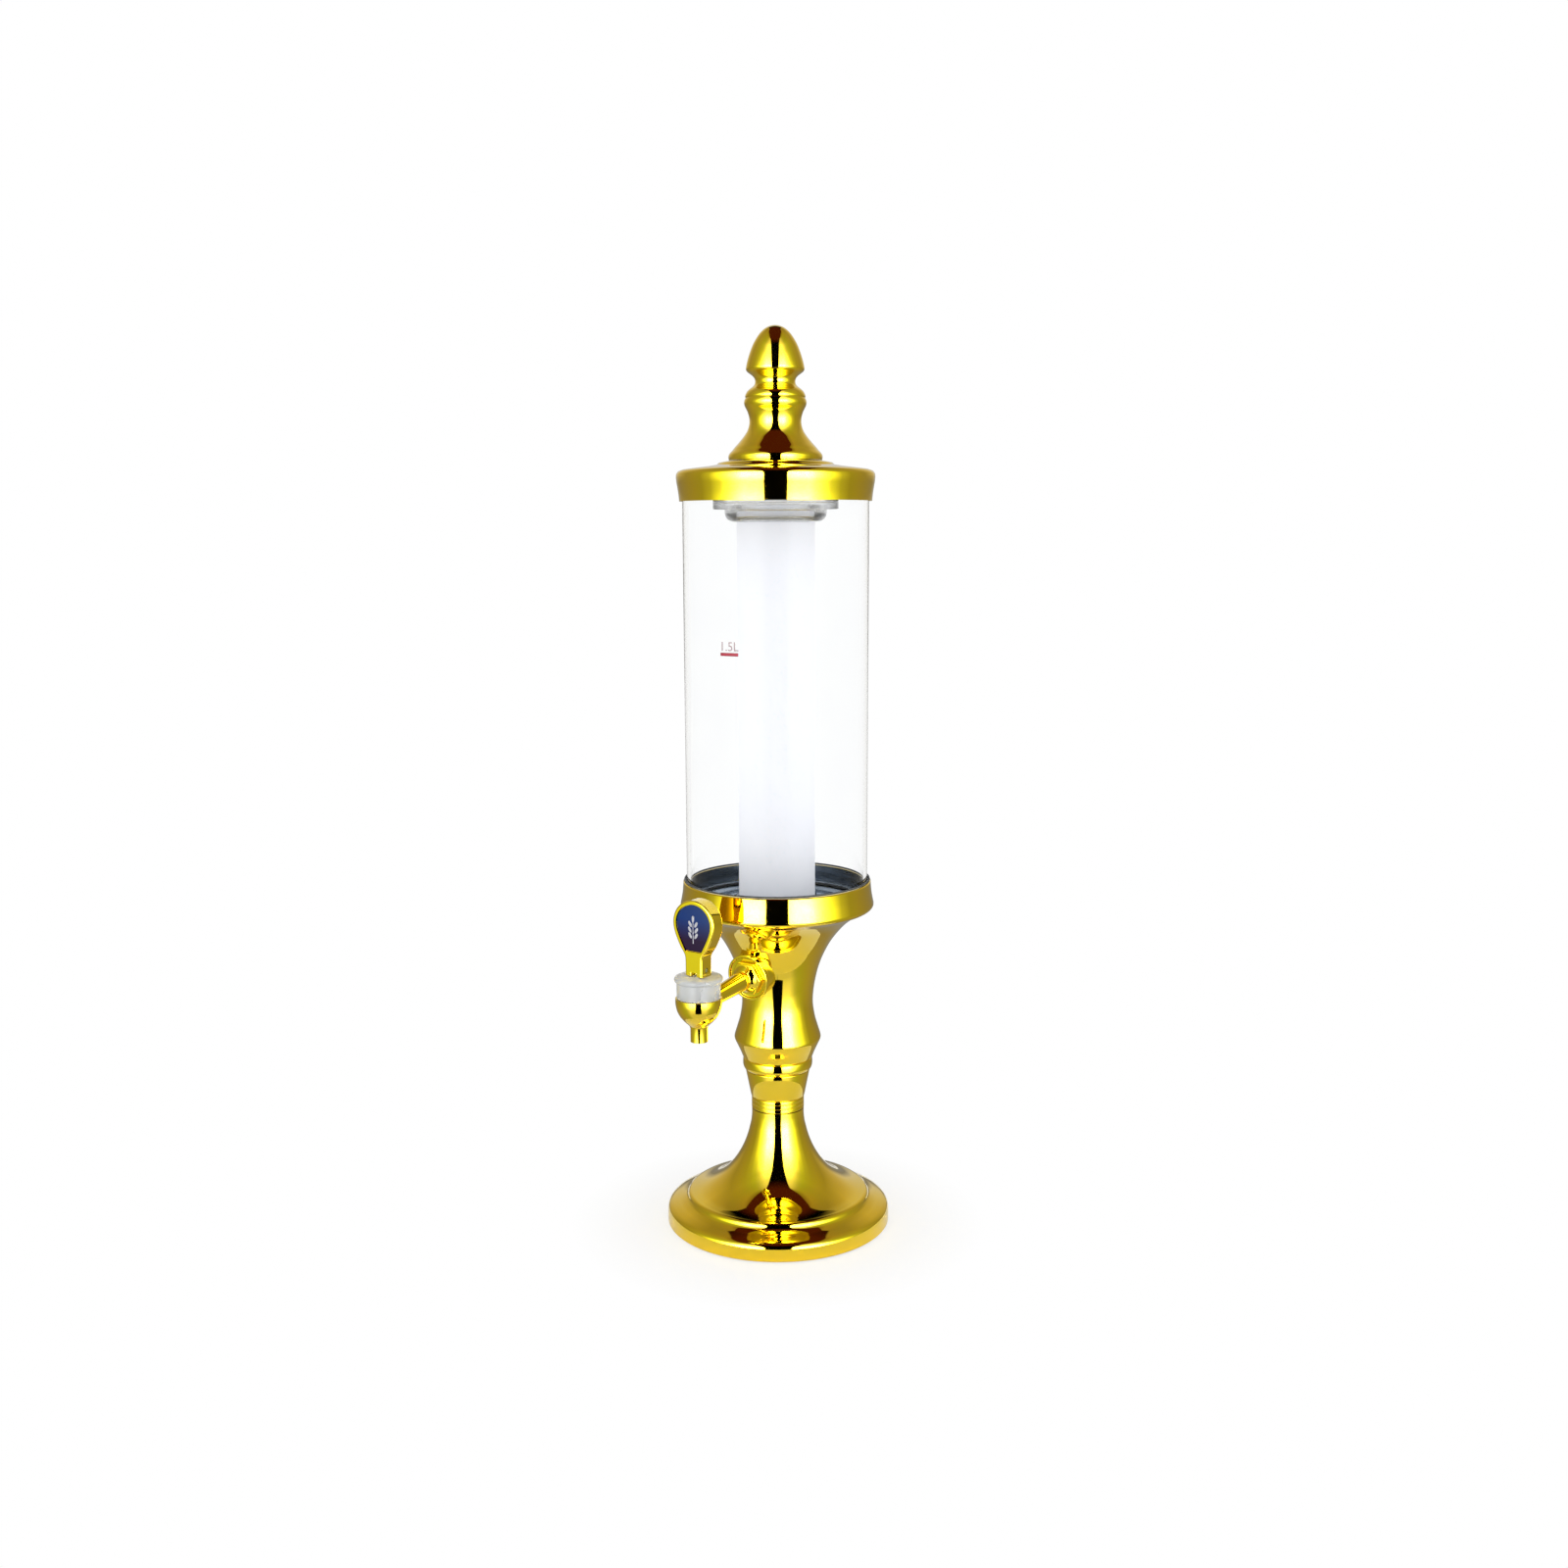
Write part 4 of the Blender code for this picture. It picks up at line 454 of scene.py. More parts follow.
finial = {
    "tip": [(0.0, 590.0), (3.2, 589.4), (6.2, 588.0), (9.2, 585.4), (11.6, 582.2), (13.7, 578.6),
            (15.4, 574.6), (16.8, 570.6), (17.9, 566.6), (18.5, 563.6)],
    "brow": [(18.4, 562.5), (17.6, 561.4), (16.0, 560.2)],
    "neck": [(14.6, 559.2), (13.2, 557.6), (12.7, 555.8), (13.0, 553.9), (14.2, 552.4),
             (16.2, 550.9), (17.8, 549.4)],
    "bead": [(18.8, 547.6), (19.1, 546.4), (18.8, 545.4)],
    "roll": [(19.5, 544.1), (19.8, 542.5), (19.4, 540.6), (18.6, 539.0)],
    "stem": [(17.6, 537.0), (16.7, 534.0), (16.4, 531.0), (16.8, 528.0), (17.8, 525.2),
             (19.4, 522.6), (21.4, 520.0), (23.6, 517.4), (25.8, 515.0), (27.4, 513.0)],
    "base": [(28.8, 511.6), (29.7, 510.2), (29.9, 508.6), (29.6, 506.9)],
    "inside": [(2.6, 506.8), (2.6, 532.8), (0.0, 532.8)],
}
outline = (flow(finial["tip"]) + flow(finial["brow"], 3) + flow(finial["neck"], 3)
           + flow(finial["bead"], 3) + flow(finial["roll"], 3) + flow(finial["stem"])
           + flow(finial["base"], 3) + finial["inside"])
place(turn("finial", outline), "lid", "gold", gold, "finial")
note("gold turnings ready")

# The tap's boss on the pedestal; the tap's own axis slopes down and outwards

tap = {"face": (0.0, -30.4677, 176.7), "turn": math.radians(97.5), "reach": 85.8,
       "boss": 14.6, "bossLength": 9.9, "bore": 5.3, "boreDepth": 12.0, "spotFace": 15.7,
       "spotReach": 55.0}


def cylinder(name, radius, low, high, sides=96):
    rest()
    bpy.ops.mesh.primitive_cylinder_add(vertices=sides, radius=radius * mm,
                                        depth=(high - low) * mm,
                                        location=(0.0, 0.0, (low + high) / 2 * mm))
    piece = bpy.context.object
    piece.name = piece.data.name = name
    settle(piece)
    return piece


def onTap(piece):
    # From the Z axis onto the tap's sloping axis
    return moveTo(piece, tap["face"], turnX=tap["turn"])


def onBody(piece):
    # From the Z axis onto the upright axis of the tap's body
    return moveTo(piece, (0.0, -tap["reach"], 0.0))


def prism(name, points, move):
    # A closed flat line of 3-D points in mm, filled and drawn out
    piece = drawLine(name, [tuple(v * mm for v in point) for point in points], True)
    bpy.ops.mesh.edge_face_add()
    bpy.ops.mesh.extrude_region_move(
        TRANSFORM_OT_translate={"value": tuple(v * mm for v in move)})
    settle(piece)
    closeUp(piece)
    return piece


trim(cup, onTap(cylinder("tapBoss", tap["boss"], -tap["bossLength"], 0.0)), "UNION")
trim(cup, onTap(cylinder("spotFace", tap["spotFace"], 0.0, tap["spotReach"])))
trim(cup, onTap(cylinder("shankHole", tap["bore"], -tap["boreDepth"], 2.0)))
closeUp(cup)
place(cup, "stand", "gold", gold, "pedestal_cup")

# Tap fittings and body

flange = {"radius": 15.4, "rim": 13.8, "low": 0.3, "face": 2.5, "rimFace": 3.9}
outline = [(flange["rim"], flange["rimFace"]), (flange["radius"], flange["rimFace"]),
           (flange["radius"], flange["low"]), (tap["bore"], flange["low"]),
           (tap["bore"], flange["face"]), (flange["rim"], flange["face"])]
place(onTap(turn("tapFlange", soften(outline, 0.6), 128)), "stand", "gold", gold, "tap_flange")

hub = {"radius": 11.6, "low": 2.8, "high": 6.4, "coneTop": 9.0, "coneLow": 4.6, "cone": 9.2,
       "neck": 6.4, "bevel": 0.5}
nut = cylinder("tapHubNut", hub["radius"], hub["low"], hub["high"], 6)
moveTo(nut, turnZ=math.pi / 2)
useModifier(nut, "BEVEL", width=hub["bevel"] * mm, segments=3, limit_method="ANGLE")
outline = [(0.0, hub["coneTop"]), (hub["neck"], hub["coneTop"]), (hub["cone"], hub["high"]),
           (hub["cone"], hub["coneLow"]), (0.0, hub["coneLow"])]
trim(nut, turn("hubCone", soften(outline, 0.4, closed=False), 96), "UNION")
trim(nut, cylinder("hubBore", tap["bore"], 0.5, 11.0))
closeUp(nut)
place(onTap(nut), "stand", "gold", gold, "tap_hub_nut")

body = {
    "side": [(14.7, 175.3), (14.7, 172.1), (14.3, 169.4), (13.5, 166.6), (12.1, 163.9),
             (9.9, 161.1), (7.4, 158.6), (6.0, 157.3)],
    "spout": [(5.5, 155.4), (5.5, 147.0)],
    "chamber": [(0.0, 178.0), (11.5, 178.0), (11.5, 172.0), (10.0, 172.0), (10.0, 167.5),
                (4.0, 158.5), (4.0, 145.0), (0.0, 145.0)],
    "pipe": [(0.0, 50.8), (4.8, 50.8), (6.4, 9.3), (5.0, 9.3), (5.0, -15.5), (4.0, -15.5),
             (4.0, -22.5), (0.0, -22.5)],
    "pipeBore": (2.4, -24.0, 50.0),
    "bonnetRoom": (15.6, 175.3154, 189.0),
}
outline = ([(0.0, 175.3)] + soften([(14.2, 175.3)] + flow(body["side"]) + body["spout"], 0.4,
                                   closed=False) + [(0.0, 147.0)])
tapBody = onBody(turn("tapBody", outline, 128))
trim(tapBody, onTap(turn("tapPipe", body["pipe"], 96)), "UNION")
trim(tapBody, onBody(cylinder("bonnetRoom", *body["bonnetRoom"])))
trim(tapBody, onBody(turn("tapChamber", body["chamber"], 96)))
trim(tapBody, onTap(cylinder("pipeBore", *body["pipeBore"], 48)))
closeUp(tapBody)
place(tapBody, "stand", "gold", gold, "tap_body")

bonnet = {
    "lip": [(13.1, 189.3), (14.5, 188.9), (15.2, 188.0), (15.3, 187.3), (15.0, 186.4),
            (14.3, 185.8), (13.8, 185.2)],
    "inside": [(13.8, 175.6), (11.2, 175.6), (11.2, 172.3), (8.5, 172.3), (8.5, 186.5),
               (2.5, 186.5), (2.5, 189.3)],
}
outline = flow(bonnet["lip"], 3) + soften(bonnet["inside"], 0.3, closed=False)
place(onBody(turn("bonnet", outline, 128)), "stand", "clear_acrylic", milkyMoulding, "bonnet")
note("tap ready")

# The valve's return spring, drawn at one fixed length; the real one flattens as the valve lifts
spring = {"radius": 4.6, "wire": 0.45, "low": 168.965, "high": 185.765, "turns": 7,
          "start": 168.5154, "end": 186.2154, "travel": 2.0}
rest()
bpy.ops.mesh.primitive_circle_add(vertices=16, radius=spring["wire"] * mm, fill_type="NOTHING",
                                  rotation=(math.pi / 2, 0.0, 0.0),
                                  location=(spring["radius"] * mm, 0.0, spring["low"] * mm))
coil = bpy.context.object
coil.name = coil.data.name = "valveSpring"
settle(coil)
pitch = (spring["high"] - spring["low"]) / spring["turns"] * mm
useModifier(coil, "SCREW", angle=math.tau, iterations=spring["turns"], steps=28,
            render_steps=28, screw_offset=pitch)
editAll(coil)
bpy.ops.mesh.select_all(action="DESELECT")
bpy.ops.mesh.select_non_manifold()
bpy.ops.mesh.fill_holes(sides=24)
bpy.ops.object.mode_set(mode="OBJECT")
closeUp(coil, 40.0)
place(onBody(coil), "stand", "steel", brightSteel, "valve_spring")
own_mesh(coil)

# Lever: paddle with a raised frame, cam heel, fork and pin eye

lever = {
    "pivot": 193.6154, "front": -91.1, "depth": 10.6, "stem": 6.45, "wide": 223.015,
    "heel": 4.0, "camRate": 2.0 / math.radians(35.0), "swing": math.radians(35.0),
    "paddle": [(15.52, 220.03), (14.40, 216.05), (12.34, 211.57), (10.19, 207.59),
               (7.90, 204.5), (6.70, 202.0), (6.45, 199.0)],
    "recess": [(13.13, 220.4), (12.1, 217.1), (10.2, 212.9), (8.25, 209.2), (6.2, 205.5)],
    "badge": [(12.83, 220.5), (11.8, 217.2), (9.9, 213.1), (7.95, 209.45), (6.0, 205.8)],
    "halfSizes": {"paddle": (15.8, 15.1), "recess": (13.4, 12.7), "badge": (13.1, 12.4)},
    "foot": 185.0, "bevel": 1.1, "recessDepth": 1.5, "badgeDepth": 1.0,
    "cutter": {"half": 20.0, "front": 10.6, "low": -14.6},
    "fork": {"half": 2.5, "low": 179.0, "back": -73.0, "steps": ((192.4, -97.0), (198.2, -89.5))},
    "eye": 1.55,
}


def mirrored(halfWidth, halfHeight, side, bottom=None):
    # An elliptical top over a side line, mirrored about the middle
    right = []
    for i in range(16):
        angle = math.pi / 2 * (1 - i / 16)
        right.append((halfWidth * math.cos(angle),
                      lever["wide"] + halfHeight * math.sin(angle)))
    right += flow([(halfWidth, lever["wide"])] + side, 3)
    if bottom:
        right.append(bottom)
    return right + [(-x, z) for x, z in right[:0:-1]]


def yPlate(name, outline, front, depth):
    piece = plate(name, outline, depth)
    return moveTo(piece, (0.0, front, 0.0))


handle = yPlate("leverHandle", mirrored(*lever["halfSizes"]["paddle"], lever["paddle"],
                                        (lever["stem"], lever["foot"])),
                lever["front"], lever["depth"])
useModifier(handle, "BEVEL", width=lever["bevel"] * mm, segments=4, limit_method="ANGLE",
            angle_limit=math.radians(50.0))

# The heel is cut to the curve that lifts the stem evenly as the lever tips
reach = lever["heel"]
cutter = lever["cutter"]
outline = [(-cutter["half"], cutter["front"], -reach)]
for i in range(13):
    angle = lever["swing"] * i / 12
    out = reach + lever["camRate"] * angle
    outline.append((-cutter["half"],
                    -math.sin(angle) * out - lever["camRate"] * math.cos(angle),
                    -math.cos(angle) * out + lever["camRate"] * math.sin(angle)))
lastY, lastZ = outline[-1][1:]
outline += [(-cutter["half"], -cutter["front"],
             lastZ + (lastY + cutter["front"]) * math.tan(lever["swing"])),
            (-cutter["half"], -cutter["front"], cutter["low"]),
            (-cutter["half"], cutter["front"], cutter["low"])]
heel = prism("heelCutter", outline, (2 * cutter["half"], 0.0, 0.0))
trim(handle, moveTo(heel, (0.0, -tap["reach"], lever["pivot"])))
fork = lever["fork"]
for top, front in fork["steps"]:
    corners = [(-fork["half"], fork["low"]), (fork["half"], fork["low"]),
               (fork["half"], top), (-fork["half"], top)]
    slot = prism("forkSlot", [(x, front, z) for x, z in corners],
                 (0.0, fork["back"] - front, 0.0))
    trim(handle, slot)
eye = moveTo(cylinder("leverEye", lever["eye"], -13.0, 13.0, 48), turnY=math.pi / 2)
trim(handle, moveTo(eye, (0.0, -tap["reach"], lever["pivot"])))
recess = yPlate("badgeRecess", mirrored(*lever["halfSizes"]["recess"], lever["recess"]),
                lever["front"] - 2.0, 2.0 + lever["recessDepth"])
trim(handle, recess)
closeUp(handle)
place(handle, "lever", "gold", gold, "lever_handle")

badge = yPlate("badgePlate", mirrored(*lever["halfSizes"]["badge"], lever["badge"]), -90.9,
               lever["badgeDepth"])
dome = [(0.0, 1.0), (4.0, 0.96), (8.0, 0.83), (11.0, 0.67), (14.0, 0.45), (17.0, 0.2),
        (19.0, 0.0), (19.0, -1.0), (0.0, -1.0)]
domeTool = turn("badgeLens", flow(dome[:7], 4) + dome[7:], 128)
trim(badge, moveTo(domeTool, (0.0, -89.9, 220.5), turnX=math.pi / 2), "INTERSECT")
closeUp(badge, 40.0)
place(badge, "lever", "badge_enamel", badgeBlue, "badge_plate")

# A plain barley ear on the badge, one grain copied for the rest
barley = {
    "grain": (0.95, 0.12, 2.1), "grainFront": -90.86,
    "grains": [(-2.3, 216.0, 32), (2.3, 216.0, -32), (-2.5, 219.6, 32), (2.5, 219.6, -32),
               (-2.3, 223.2, 30), (2.3, 223.2, -30), (0.0, 226.6, 0)],  # x, z, lean
    "stalk": (0.3, 0.0, 15.0), "stalkAt": (0.0, -90.78, 211.0),
}
rest()
bpy.ops.mesh.primitive_uv_sphere_add(segments=24, ring_count=12, radius=mm)
grain = bpy.context.object
grain.name = grain.data.name = "barleyGrain"
grain.scale = barley["grain"]
settle(grain)
closeUp(grain)
for count, (x, z, lean) in enumerate(barley["grains"]):
    rest()
    one = bpy.data.objects.new("barleyGrain" + str(count + 1), grain.data.copy())
    scene.collection.objects.link(one)
    moveTo(one, turnY=math.radians(-lean))
    moveTo(one, (x, barley["grainFront"], z))
    place(one, "lever", "badge_enamel", motifSilver)
bpy.data.objects.remove(grain, do_unlink=True)
stalk = moveTo(cylinder("barleyStalk", *barley["stalk"], 24), barley["stalkAt"])
place(stalk, "lever", "badge_enamel", motifSilver)
note("lever ready")

# Floor of the cup, its bare inside wall, seals, tank and the mark on it

cupFloor = {
    "line": [(0.0, 219.2), (22.7, 219.2), (22.7, 222.0), (25.3, 222.0), (25.3, 226.0),
             (27.5, 226.0), (27.5, 220.0), (42.1, 220.0), (42.9, 220.8), (50.9, 220.8),
             (52.9, 222.8), (59.4, 222.8), (59.4, 220.3), (50.9, 220.3), (48.4, 218.3),
             (30.0, 218.3), (27.5, 216.7), (0.0, 216.7)],
    "slotNear": 20.7, "slotFar": 29.5, "slotHalf": 4.0, "slotLow": 220.3, "slotHeight": 8.0,
    "spigot": (4.0, 204.2, 217.9), "outlet": (2.8, 202.0, 221.0), "offset": 8.0,
}
floor = turn("tankFloor", soften(cupFloor["line"], 0.35, closed=False), 160)
near, far, half = cupFloor["slotNear"], cupFloor["slotFar"], cupFloor["slotHalf"]
for quarter in range(4):
    slot = prism("socketSlot", [(x, y, cupFloor["slotLow"]) for x, y in
                                ((near, -half), (far, -half), (far, half), (near, half))],
                 (0.0, 0.0, cupFloor["slotHeight"]))
    trim(floor, moveTo(slot, turnZ=math.pi / 4 + quarter * math.pi / 2))
outletSpot = (0.0, cupFloor["offset"], 0.0)
trim(floor, moveTo(cylinder("spigot", *cupFloor["spigot"], 48), outletSpot), "UNION")
trim(floor, moveTo(cylinder("outlet", *cupFloor["outlet"], 48), outletSpot))
closeUp(floor)
place(floor, "stand", "satin_metal", satinMetal, "tank_floor")

lining = [(59.5, 235.9), (59.65, 235.9), (59.65, 223.0), (59.5, 223.0)]
place(turn("cupLining", lining, 160), "stand", "satin_metal", satinMetal)

gasket = [(59.4, 224.3), (59.4, 223.1), (56.4, 223.1), (56.4, 224.3)]
place(turn("tankGasket", soften(gasket, 0.3), 160), "stand", "rubber", darkRubber, "tank_gasket")
lipSeal = [(61.2, 237.3), (61.2, 236.3), (59.7, 236.3), (59.7, 237.3)]
place(turn("cupLipSeal", soften(lipSeal, 0.4), 160), "stand", "rubber", darkRubber,
      "cup_lip_seal")

tank = {"outer": 59.4, "inner": 56.6, "low": 224.6, "high": 497.4}
outline = [(tank["inner"], tank["high"]), (tank["outer"], tank["high"]),
           (tank["outer"], tank["low"]), (tank["inner"], tank["low"])]
place(turn("tank", soften(outline, 0.5), 192), "stand", "clear_acrylic", clearTank, "tank")

# A plain volume mark: a short red line with its number, on the side towards the tap
mark = {"at": math.radians(5.8), "height": 388.0, "width": 12.7, "thick": 2.0, "size": 8.0,
        "print": 0.06, "radius": 59.42, "numberLift": 2.2, "numberRadius": 59.5}
rest()
half = mark["width"] / 2 / tank["outer"]
start = mark["at"] - half
bar = drawLine("markLine", [(mark["radius"] * mm * math.sin(start),
                             -mark["radius"] * mm * math.cos(start),
                             (mark["height"] + h) * mm)
                            for h in (-mark["thick"] / 2, mark["thick"] / 2)], False)
bpy.ops.mesh.spin(steps=16, angle=-2 * half, center=(0, 0, 0), axis=(0, 0, 1))
settle(bar)
closeUp(bar)
useModifier(bar, "SOLIDIFY", thickness=mark["print"] * mm, offset=0.0)
place(bar, "stand", "clear_acrylic", markRed)
rest()
bpy.ops.object.text_add(location=(0.0, 0.0, 0.0))
number = bpy.context.object
number.data.body = "1.5L"
number.data.size = mark["size"] * mm
number.data.extrude = mark["print"] / 2 * mm
number.data.align_x = "CENTER"
bpy.ops.object.convert(target="MESH")
number = bpy.context.object
number.name = number.data.name = "markNumber"
moveTo(number, (0.0, -mark["numberRadius"], mark["height"] + mark["numberLift"]),
       turnX=math.pi / 2)
moveTo(number, turnZ=mark["at"])
closeUp(number)
place(number, "stand", "clear_acrylic", markGrey)

# Ice tube and its cap

iceTube = [(0.0, 224.1), (23.2, 224.1), (23.2, 475.0), (25.0, 475.0), (25.0, 222.3),
           (0.0, 222.3)]
place(turn("iceTube", soften(iceTube, 0.4, closed=False), 128), "ice_tube",
      "frosted_acrylic", glowingFrostedTube, "ice_tube")

capSide = [(32.5, 480.0), (32.5, 473.5), (31.9, 471.0), (30.4, 469.2), (28.4, 468.3),
           (27.2, 468.0)]
capLine = ([(0.0, 481.5), (40.0, 481.5), (40.0, 475.8), (38.4, 475.8), (38.4, 480.0)]
           + flow(capSide, 3) + [(25.3, 468.0), (25.3, 469.5), (27.6, 469.5), (27.6, 471.9),
                                 (25.3, 471.9), (25.3, 475.3), (22.2, 475.3), (22.2, 479.5),
                                 (0.0, 479.5)])
place(turn("iceTubeCap", soften(capLine, 0.4, closed=False), 128), "ice_cap",
      "clear_acrylic", clearMoulding, "ice_tube_cap")
frame["nodes"]["cap_seal"].data.materials[0] = paleSilicone  # pale under the clear cap
note("tank and ice tube ready")

# Floor, studio and camera

studio = {
    "turn": math.radians(35.0),  # from the tap round to the camera
    "discRadius": 0.17, "discColour": (0.91, 0.91, 0.91, 1.0),
    "discFade": {"from": 0.09, "to": 0.14, "shown": 0.75},  # where it turns plain white
    "even": 1.1,  # all light but reflections
    # Only reflections see what follows: (degrees round from the camera, level)
    "boxes": [(0, 8.0), (13, 12.0), (22, 19.0), (38, 18.0), (48, 9.0), (58, 4.0), (68, 1.5),
              (82, 0.3), (96, 0.0)],
    "rear": [(0, 0.8), (45, 0.8), (62, 0.55), (80, 0.5), (110, 0.45), (150, 0.35),
             (180, 0.3)],
    "wallSide": [(0, 0.0), (125, 0.0), (160, 1.0), (180, 1.0)],
    "tone": [(0, (1.0, 1.0, 1.0)), (44, (1.0, 1.0, 1.0)), (72, (0.88, 1.0, 0.3)),
             (112, (1.0, 0.9, 0.4)), (150, (1.0, 0.84, 0.45)), (172, (1.0, 0.96, 0.92))],
    # (degrees up from level, share)
    "lift": [(-90, 0.0), (-46, 0.0), (-30, 0.04), (-18, 0.3), (-6, 0.8), (2, 1.0), (16, 0.9),
             (28, 0.4), (40, 0.12), (52, 0.03), (66, 0.0)],
    "plain": [(-90, 0.95), (-30, 0.95), (-10, 0.8), (5, 0.85), (45, 1.0), (62, 0.85),
              (70, 0.12), (90, 0.04)],
    "wallUp": [(-90, 0.0), (-3, 0.0), (5, 0.4), (34, 0.4), (50, 0.0)],
    "overhead": [(-90, 0.0), (54, 0.0), (66, 1.0), (90, 1.0)],
    "overheadColour": (0.075, 0.012, 0.006, 1.0),
    # Half width of the dark gap between the boxes
    "gap": [(-90, 0.0), (-45, 0.0), (-44, 0.225), (5, 0.225), (40, 0.24), (63, 0.29),
            (74, 0.5), (90, 0.6)],
    "gapEdge": 0.015, "gapTilt": 0.9, "gapEnd": 0.1,
    "brightest": 20.0,
}


def mathNode(tree, operation, *values):
    added = tree.nodes.new("ShaderNodeMath")
    added.operation = operation
    for i, value in enumerate(values):
        if isinstance(value, (int, float)):
            added.inputs[i].default_value = value
        else:
            tree.links.new(value, added.inputs[i])
    return added.outputs[0]


def colourRamp(tree, value, stops):
    # stops are (place from 0 to 1, colour)
    ramp = tree.nodes.new("ShaderNodeValToRGB")
    elements = ramp.color_ramp.elements
    while len(elements) < len(stops):
        elements.new(0.5)
    for element, (at, colour) in zip(elements, stops):
        element.position = at
    for element, (at, colour) in zip(elements, stops):
        element.color = (*colour, 1.0)
    tree.links.new(value, ramp.inputs["Fac"])
    return ramp.outputs["Color"]


def levelRamp(tree, value, stops, top=1.0):
    # A ramp holds 0 to 1, so levels are divided by the top level and given back
    shades = [(at, (level / top,) * 3) for at, level in stops]
    return mathNode(tree, "MULTIPLY", colourRamp(tree, value, shades), top)


def around(stops):
    return [(degrees / 180, level) for degrees, level in stops]


def upwards(stops):
    return [((degrees + 90) / 180, level) for degrees, level in stops]


def whiteTable():
    # White paper that keeps the shadow and fades into the white behind it
    rest()
    bpy.ops.mesh.primitive_circle_add(vertices=128, radius=studio["discRadius"],
                                      fill_type="NGON", location=(0.0, 0.0, 0.0))
    disc = bpy.context.object
    disc.name = "whiteTable"
    finish, tree, shader = newFinish("whiteTable")
    setSockets(shader, Base_Color=studio["discColour"], Roughness=1.0, Specular_IOR_Level=0.0)
    coords = tree.nodes.new("ShaderNodeTexCoord")
    away = tree.nodes.new("ShaderNodeVectorMath")
    away.operation = "LENGTH"
    tree.links.new(coords.outputs["Object"], away.inputs[0])
    fade = studio["discFade"]
    shown = spread(tree, away.outputs["Value"], fade["shown"], 1.0, fade["from"], fade["to"])
    seen = tree.nodes.new("ShaderNodeLightPath")
    share = mathNode(tree, "MULTIPLY", seen.outputs["Is Camera Ray"], shown)
    glow = tree.nodes.new("ShaderNodeEmission")
    mix = tree.nodes.new("ShaderNodeMixShader")
    tree.links.new(share, mix.inputs["Fac"])
    tree.links.new(shader.outputs["BSDF"], mix.inputs[1])
    tree.links.new(glow.outputs["Emission"], mix.inputs[2])
    tree.links.new(mix.outputs["Shader"], tree.nodes["Material Output"].inputs["Surface"])
    disc.data.materials.append(finish)


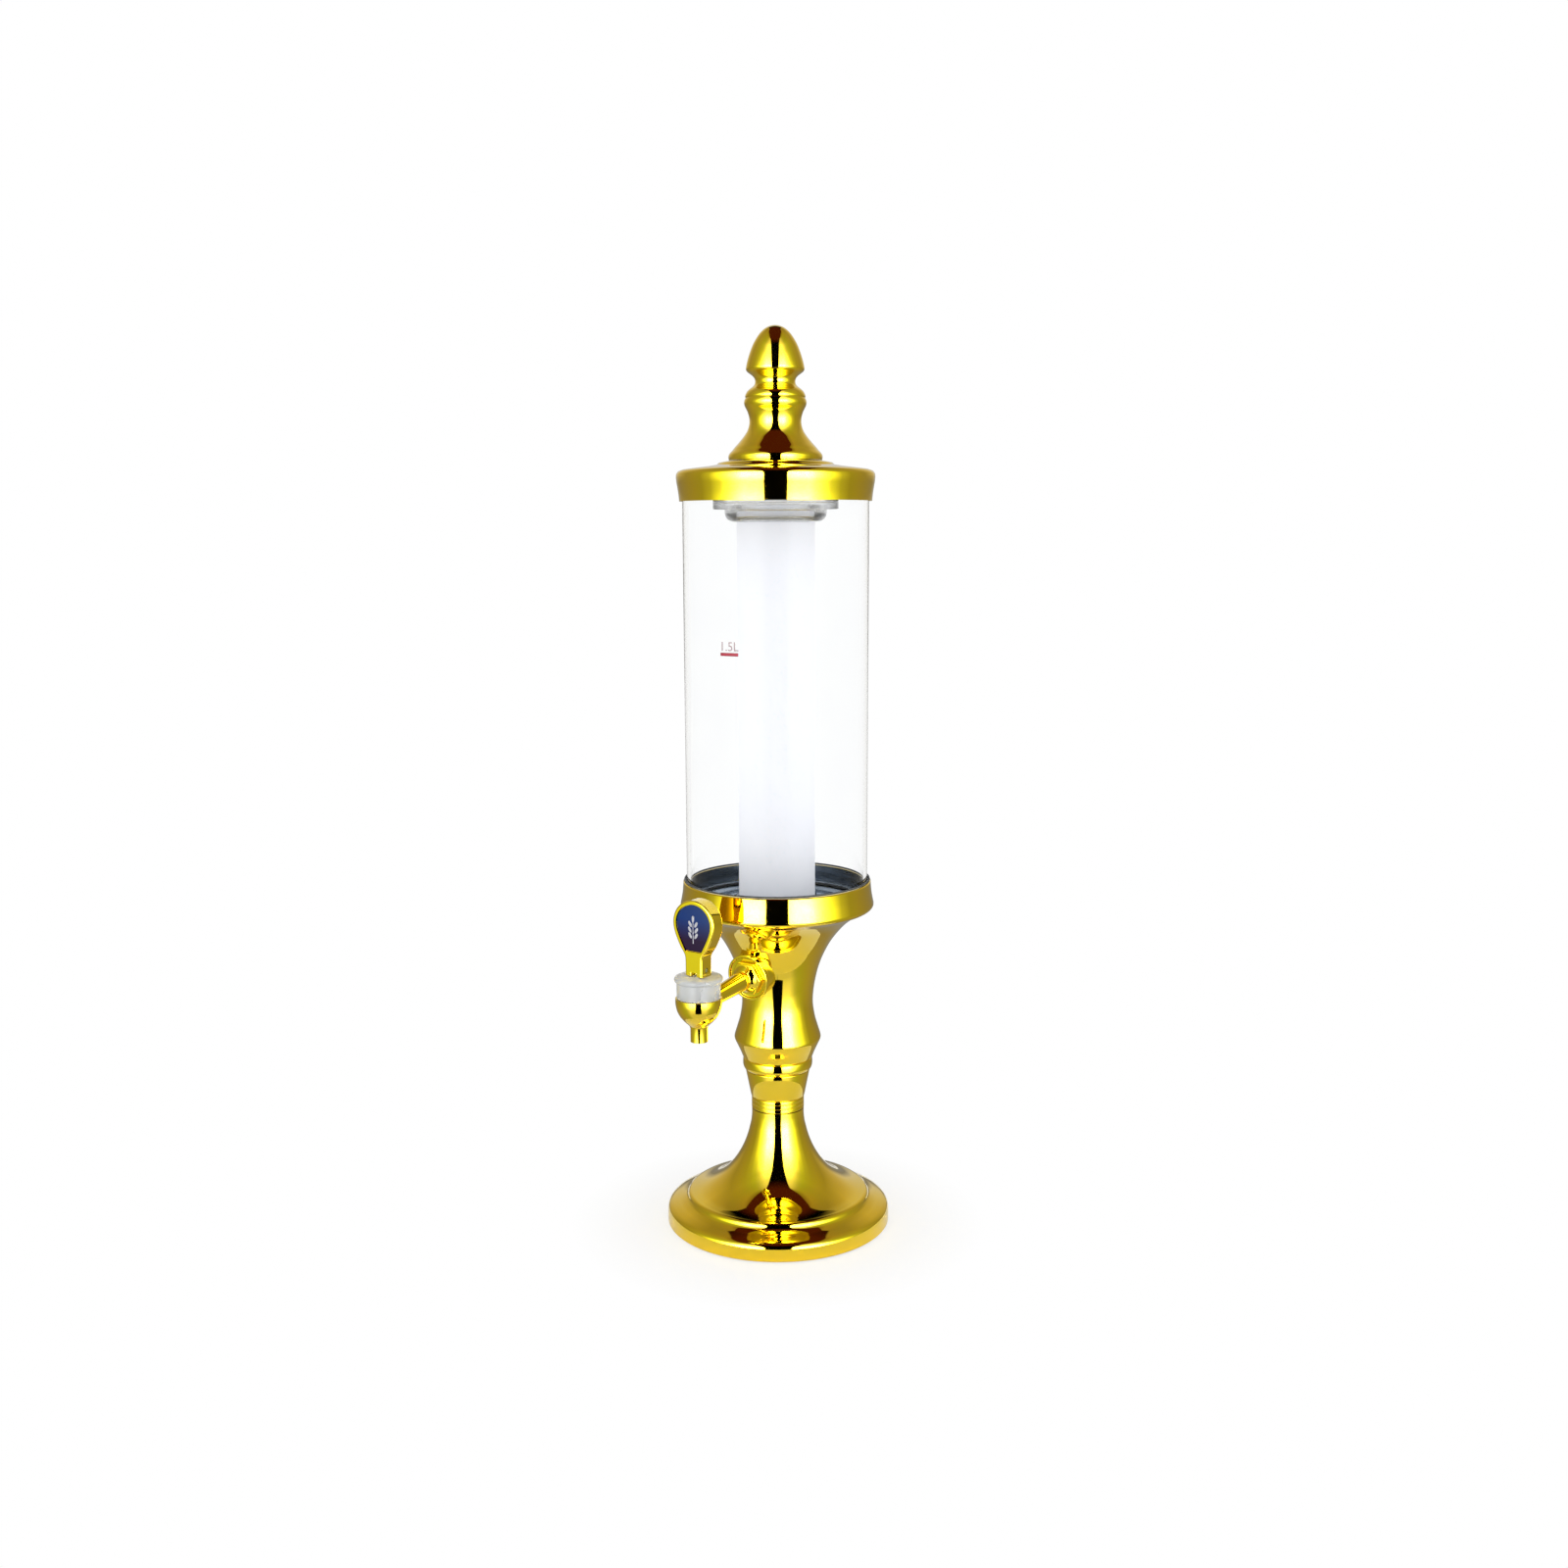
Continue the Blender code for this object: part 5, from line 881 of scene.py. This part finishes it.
def lightStudio():
    world = bpy.data.worlds.new("studio")
    scene.world = world
    world.use_nodes = True
    tree = world.node_tree
    tree.nodes.clear()
    coords = tree.nodes.new("ShaderNodeTexCoord")
    mapping = tree.nodes.new("ShaderNodeMapping")
    mapping.vector_type = "POINT"
    mapping.inputs["Rotation"].default_value = (0.0, 0.0, -studio["turn"])
    tree.links.new(coords.outputs["Generated"], mapping.inputs["Vector"])
    split = tree.nodes.new("ShaderNodeSeparateXYZ")
    tree.links.new(mapping.outputs["Vector"], split.inputs["Vector"])
    side = mathNode(tree, "ABSOLUTE", split.outputs["X"])
    back = split.outputs["Y"]
    up = split.outputs["Z"]
    front = mathNode(tree, "MULTIPLY", back, -1.0)
    azimuth = mathNode(tree, "DIVIDE", mathNode(tree, "ARCTAN2", side, front), math.pi)
    height = mathNode(tree, "DIVIDE", mathNode(tree, "ADD", mathNode(tree, "ARCSINE", up),
                                               math.pi / 2), math.pi)

    # Soft boxes at both sides, a dim surround and a wall behind
    boxes = mathNode(tree, "MULTIPLY",
                     levelRamp(tree, azimuth, around(studio["boxes"]), studio["brightest"]),
                     levelRamp(tree, height, upwards(studio["lift"])))
    surround = mathNode(tree, "MULTIPLY", levelRamp(tree, azimuth, around(studio["rear"])),
                        levelRamp(tree, height, upwards(studio["plain"])))
    wall = mathNode(tree, "MULTIPLY", levelRamp(tree, azimuth, around(studio["wallSide"])),
                    levelRamp(tree, height, upwards(studio["wallUp"])))
    level = mathNode(tree, "ADD", mathNode(tree, "ADD", boxes, surround), wall)

    # The dark gap between the boxes runs up from the camera and over the top
    gapWidth = levelRamp(tree, height, upwards(studio["gap"]))
    edge = mathNode(tree, "DIVIDE", mathNode(tree, "SUBTRACT", side, gapWidth),
                    studio["gapEdge"])
    inBox = tree.nodes.new("ShaderNodeClamp")
    tree.links.new(edge, inBox.inputs["Value"])
    reach = mathNode(tree, "SUBTRACT", back, mathNode(tree, "MULTIPLY", up, studio["gapTilt"]))
    behind = spread(tree, reach, 0.0, 1.0, -studio["gapEnd"], studio["gapEnd"])
    shown = mathNode(tree, "MAXIMUM", inBox.outputs["Result"], behind)
    level = mathNode(tree, "MULTIPLY", level, shown)

    glossy = tree.nodes.new("ShaderNodeBackground")
    tree.links.new(level, glossy.inputs["Strength"])
    tree.links.new(colourRamp(tree, azimuth, around(studio["tone"])), glossy.inputs["Color"])
    overhead = tree.nodes.new("ShaderNodeBackground")
    overhead.inputs["Color"].default_value = studio["overheadColour"]
    tree.links.new(levelRamp(tree, height, upwards(studio["overhead"])),
                   overhead.inputs["Strength"])
    both = tree.nodes.new("ShaderNodeAddShader")
    tree.links.new(glossy.outputs[0], both.inputs[0])
    tree.links.new(overhead.outputs[0], both.inputs[1])
    even = tree.nodes.new("ShaderNodeBackground")
    even.inputs["Strength"].default_value = studio["even"]
    white = tree.nodes.new("ShaderNodeBackground")
    white.inputs["Color"].default_value = (1.0, 1.0, 1.0, 1.0)
    seen = tree.nodes.new("ShaderNodeLightPath")
    first = tree.nodes.new("ShaderNodeMixShader")
    tree.links.new(seen.outputs["Is Glossy Ray"], first.inputs["Fac"])
    tree.links.new(even.outputs[0], first.inputs[1])
    tree.links.new(both.outputs[0], first.inputs[2])
    straight = mathNode(tree, "MAXIMUM", seen.outputs["Is Camera Ray"],
                        seen.outputs["Is Transmission Ray"])
    second = tree.nodes.new("ShaderNodeMixShader")
    tree.links.new(straight, second.inputs["Fac"])
    tree.links.new(first.outputs[0], second.inputs[1])
    tree.links.new(white.outputs[0], second.inputs[2])
    out = tree.nodes.new("ShaderNodeOutputWorld")
    tree.links.new(second.outputs[0], out.inputs["Surface"])


whiteTable()
lightStudio()

lens = {"focal": 38.25, "distance": 1.078, "height": 0.4654, "pitch": 9.6, "roll": -0.21,
        "shiftX": 0.0046, "shiftY": 0.0157}


def aimCamera():
    view = bpy.data.cameras.new("photoView")
    camera = bpy.data.objects.new("photoView", view)
    scene.collection.objects.link(camera)
    view.sensor_width = 36.0
    view.lens = lens["focal"]
    view.shift_x = lens["shiftX"]
    view.shift_y = lens["shiftY"]
    view.clip_start = 0.01
    turned = Matrix.Rotation(studio["turn"], 4, "Z")
    spot = turned @ Vector((0.0, -lens["distance"], lens["height"]))
    tilt = Matrix.Rotation(math.pi / 2 - math.radians(lens["pitch"]), 4, "X")
    roll = Matrix.Rotation(math.radians(lens["roll"]), 4, "Z")
    camera.matrix_world = Matrix.Translation(spot) @ turned @ tilt @ roll
    scene.camera = camera


aimCamera()
scene.view_settings.view_transform = "Standard"
note("studio ready")

rest()
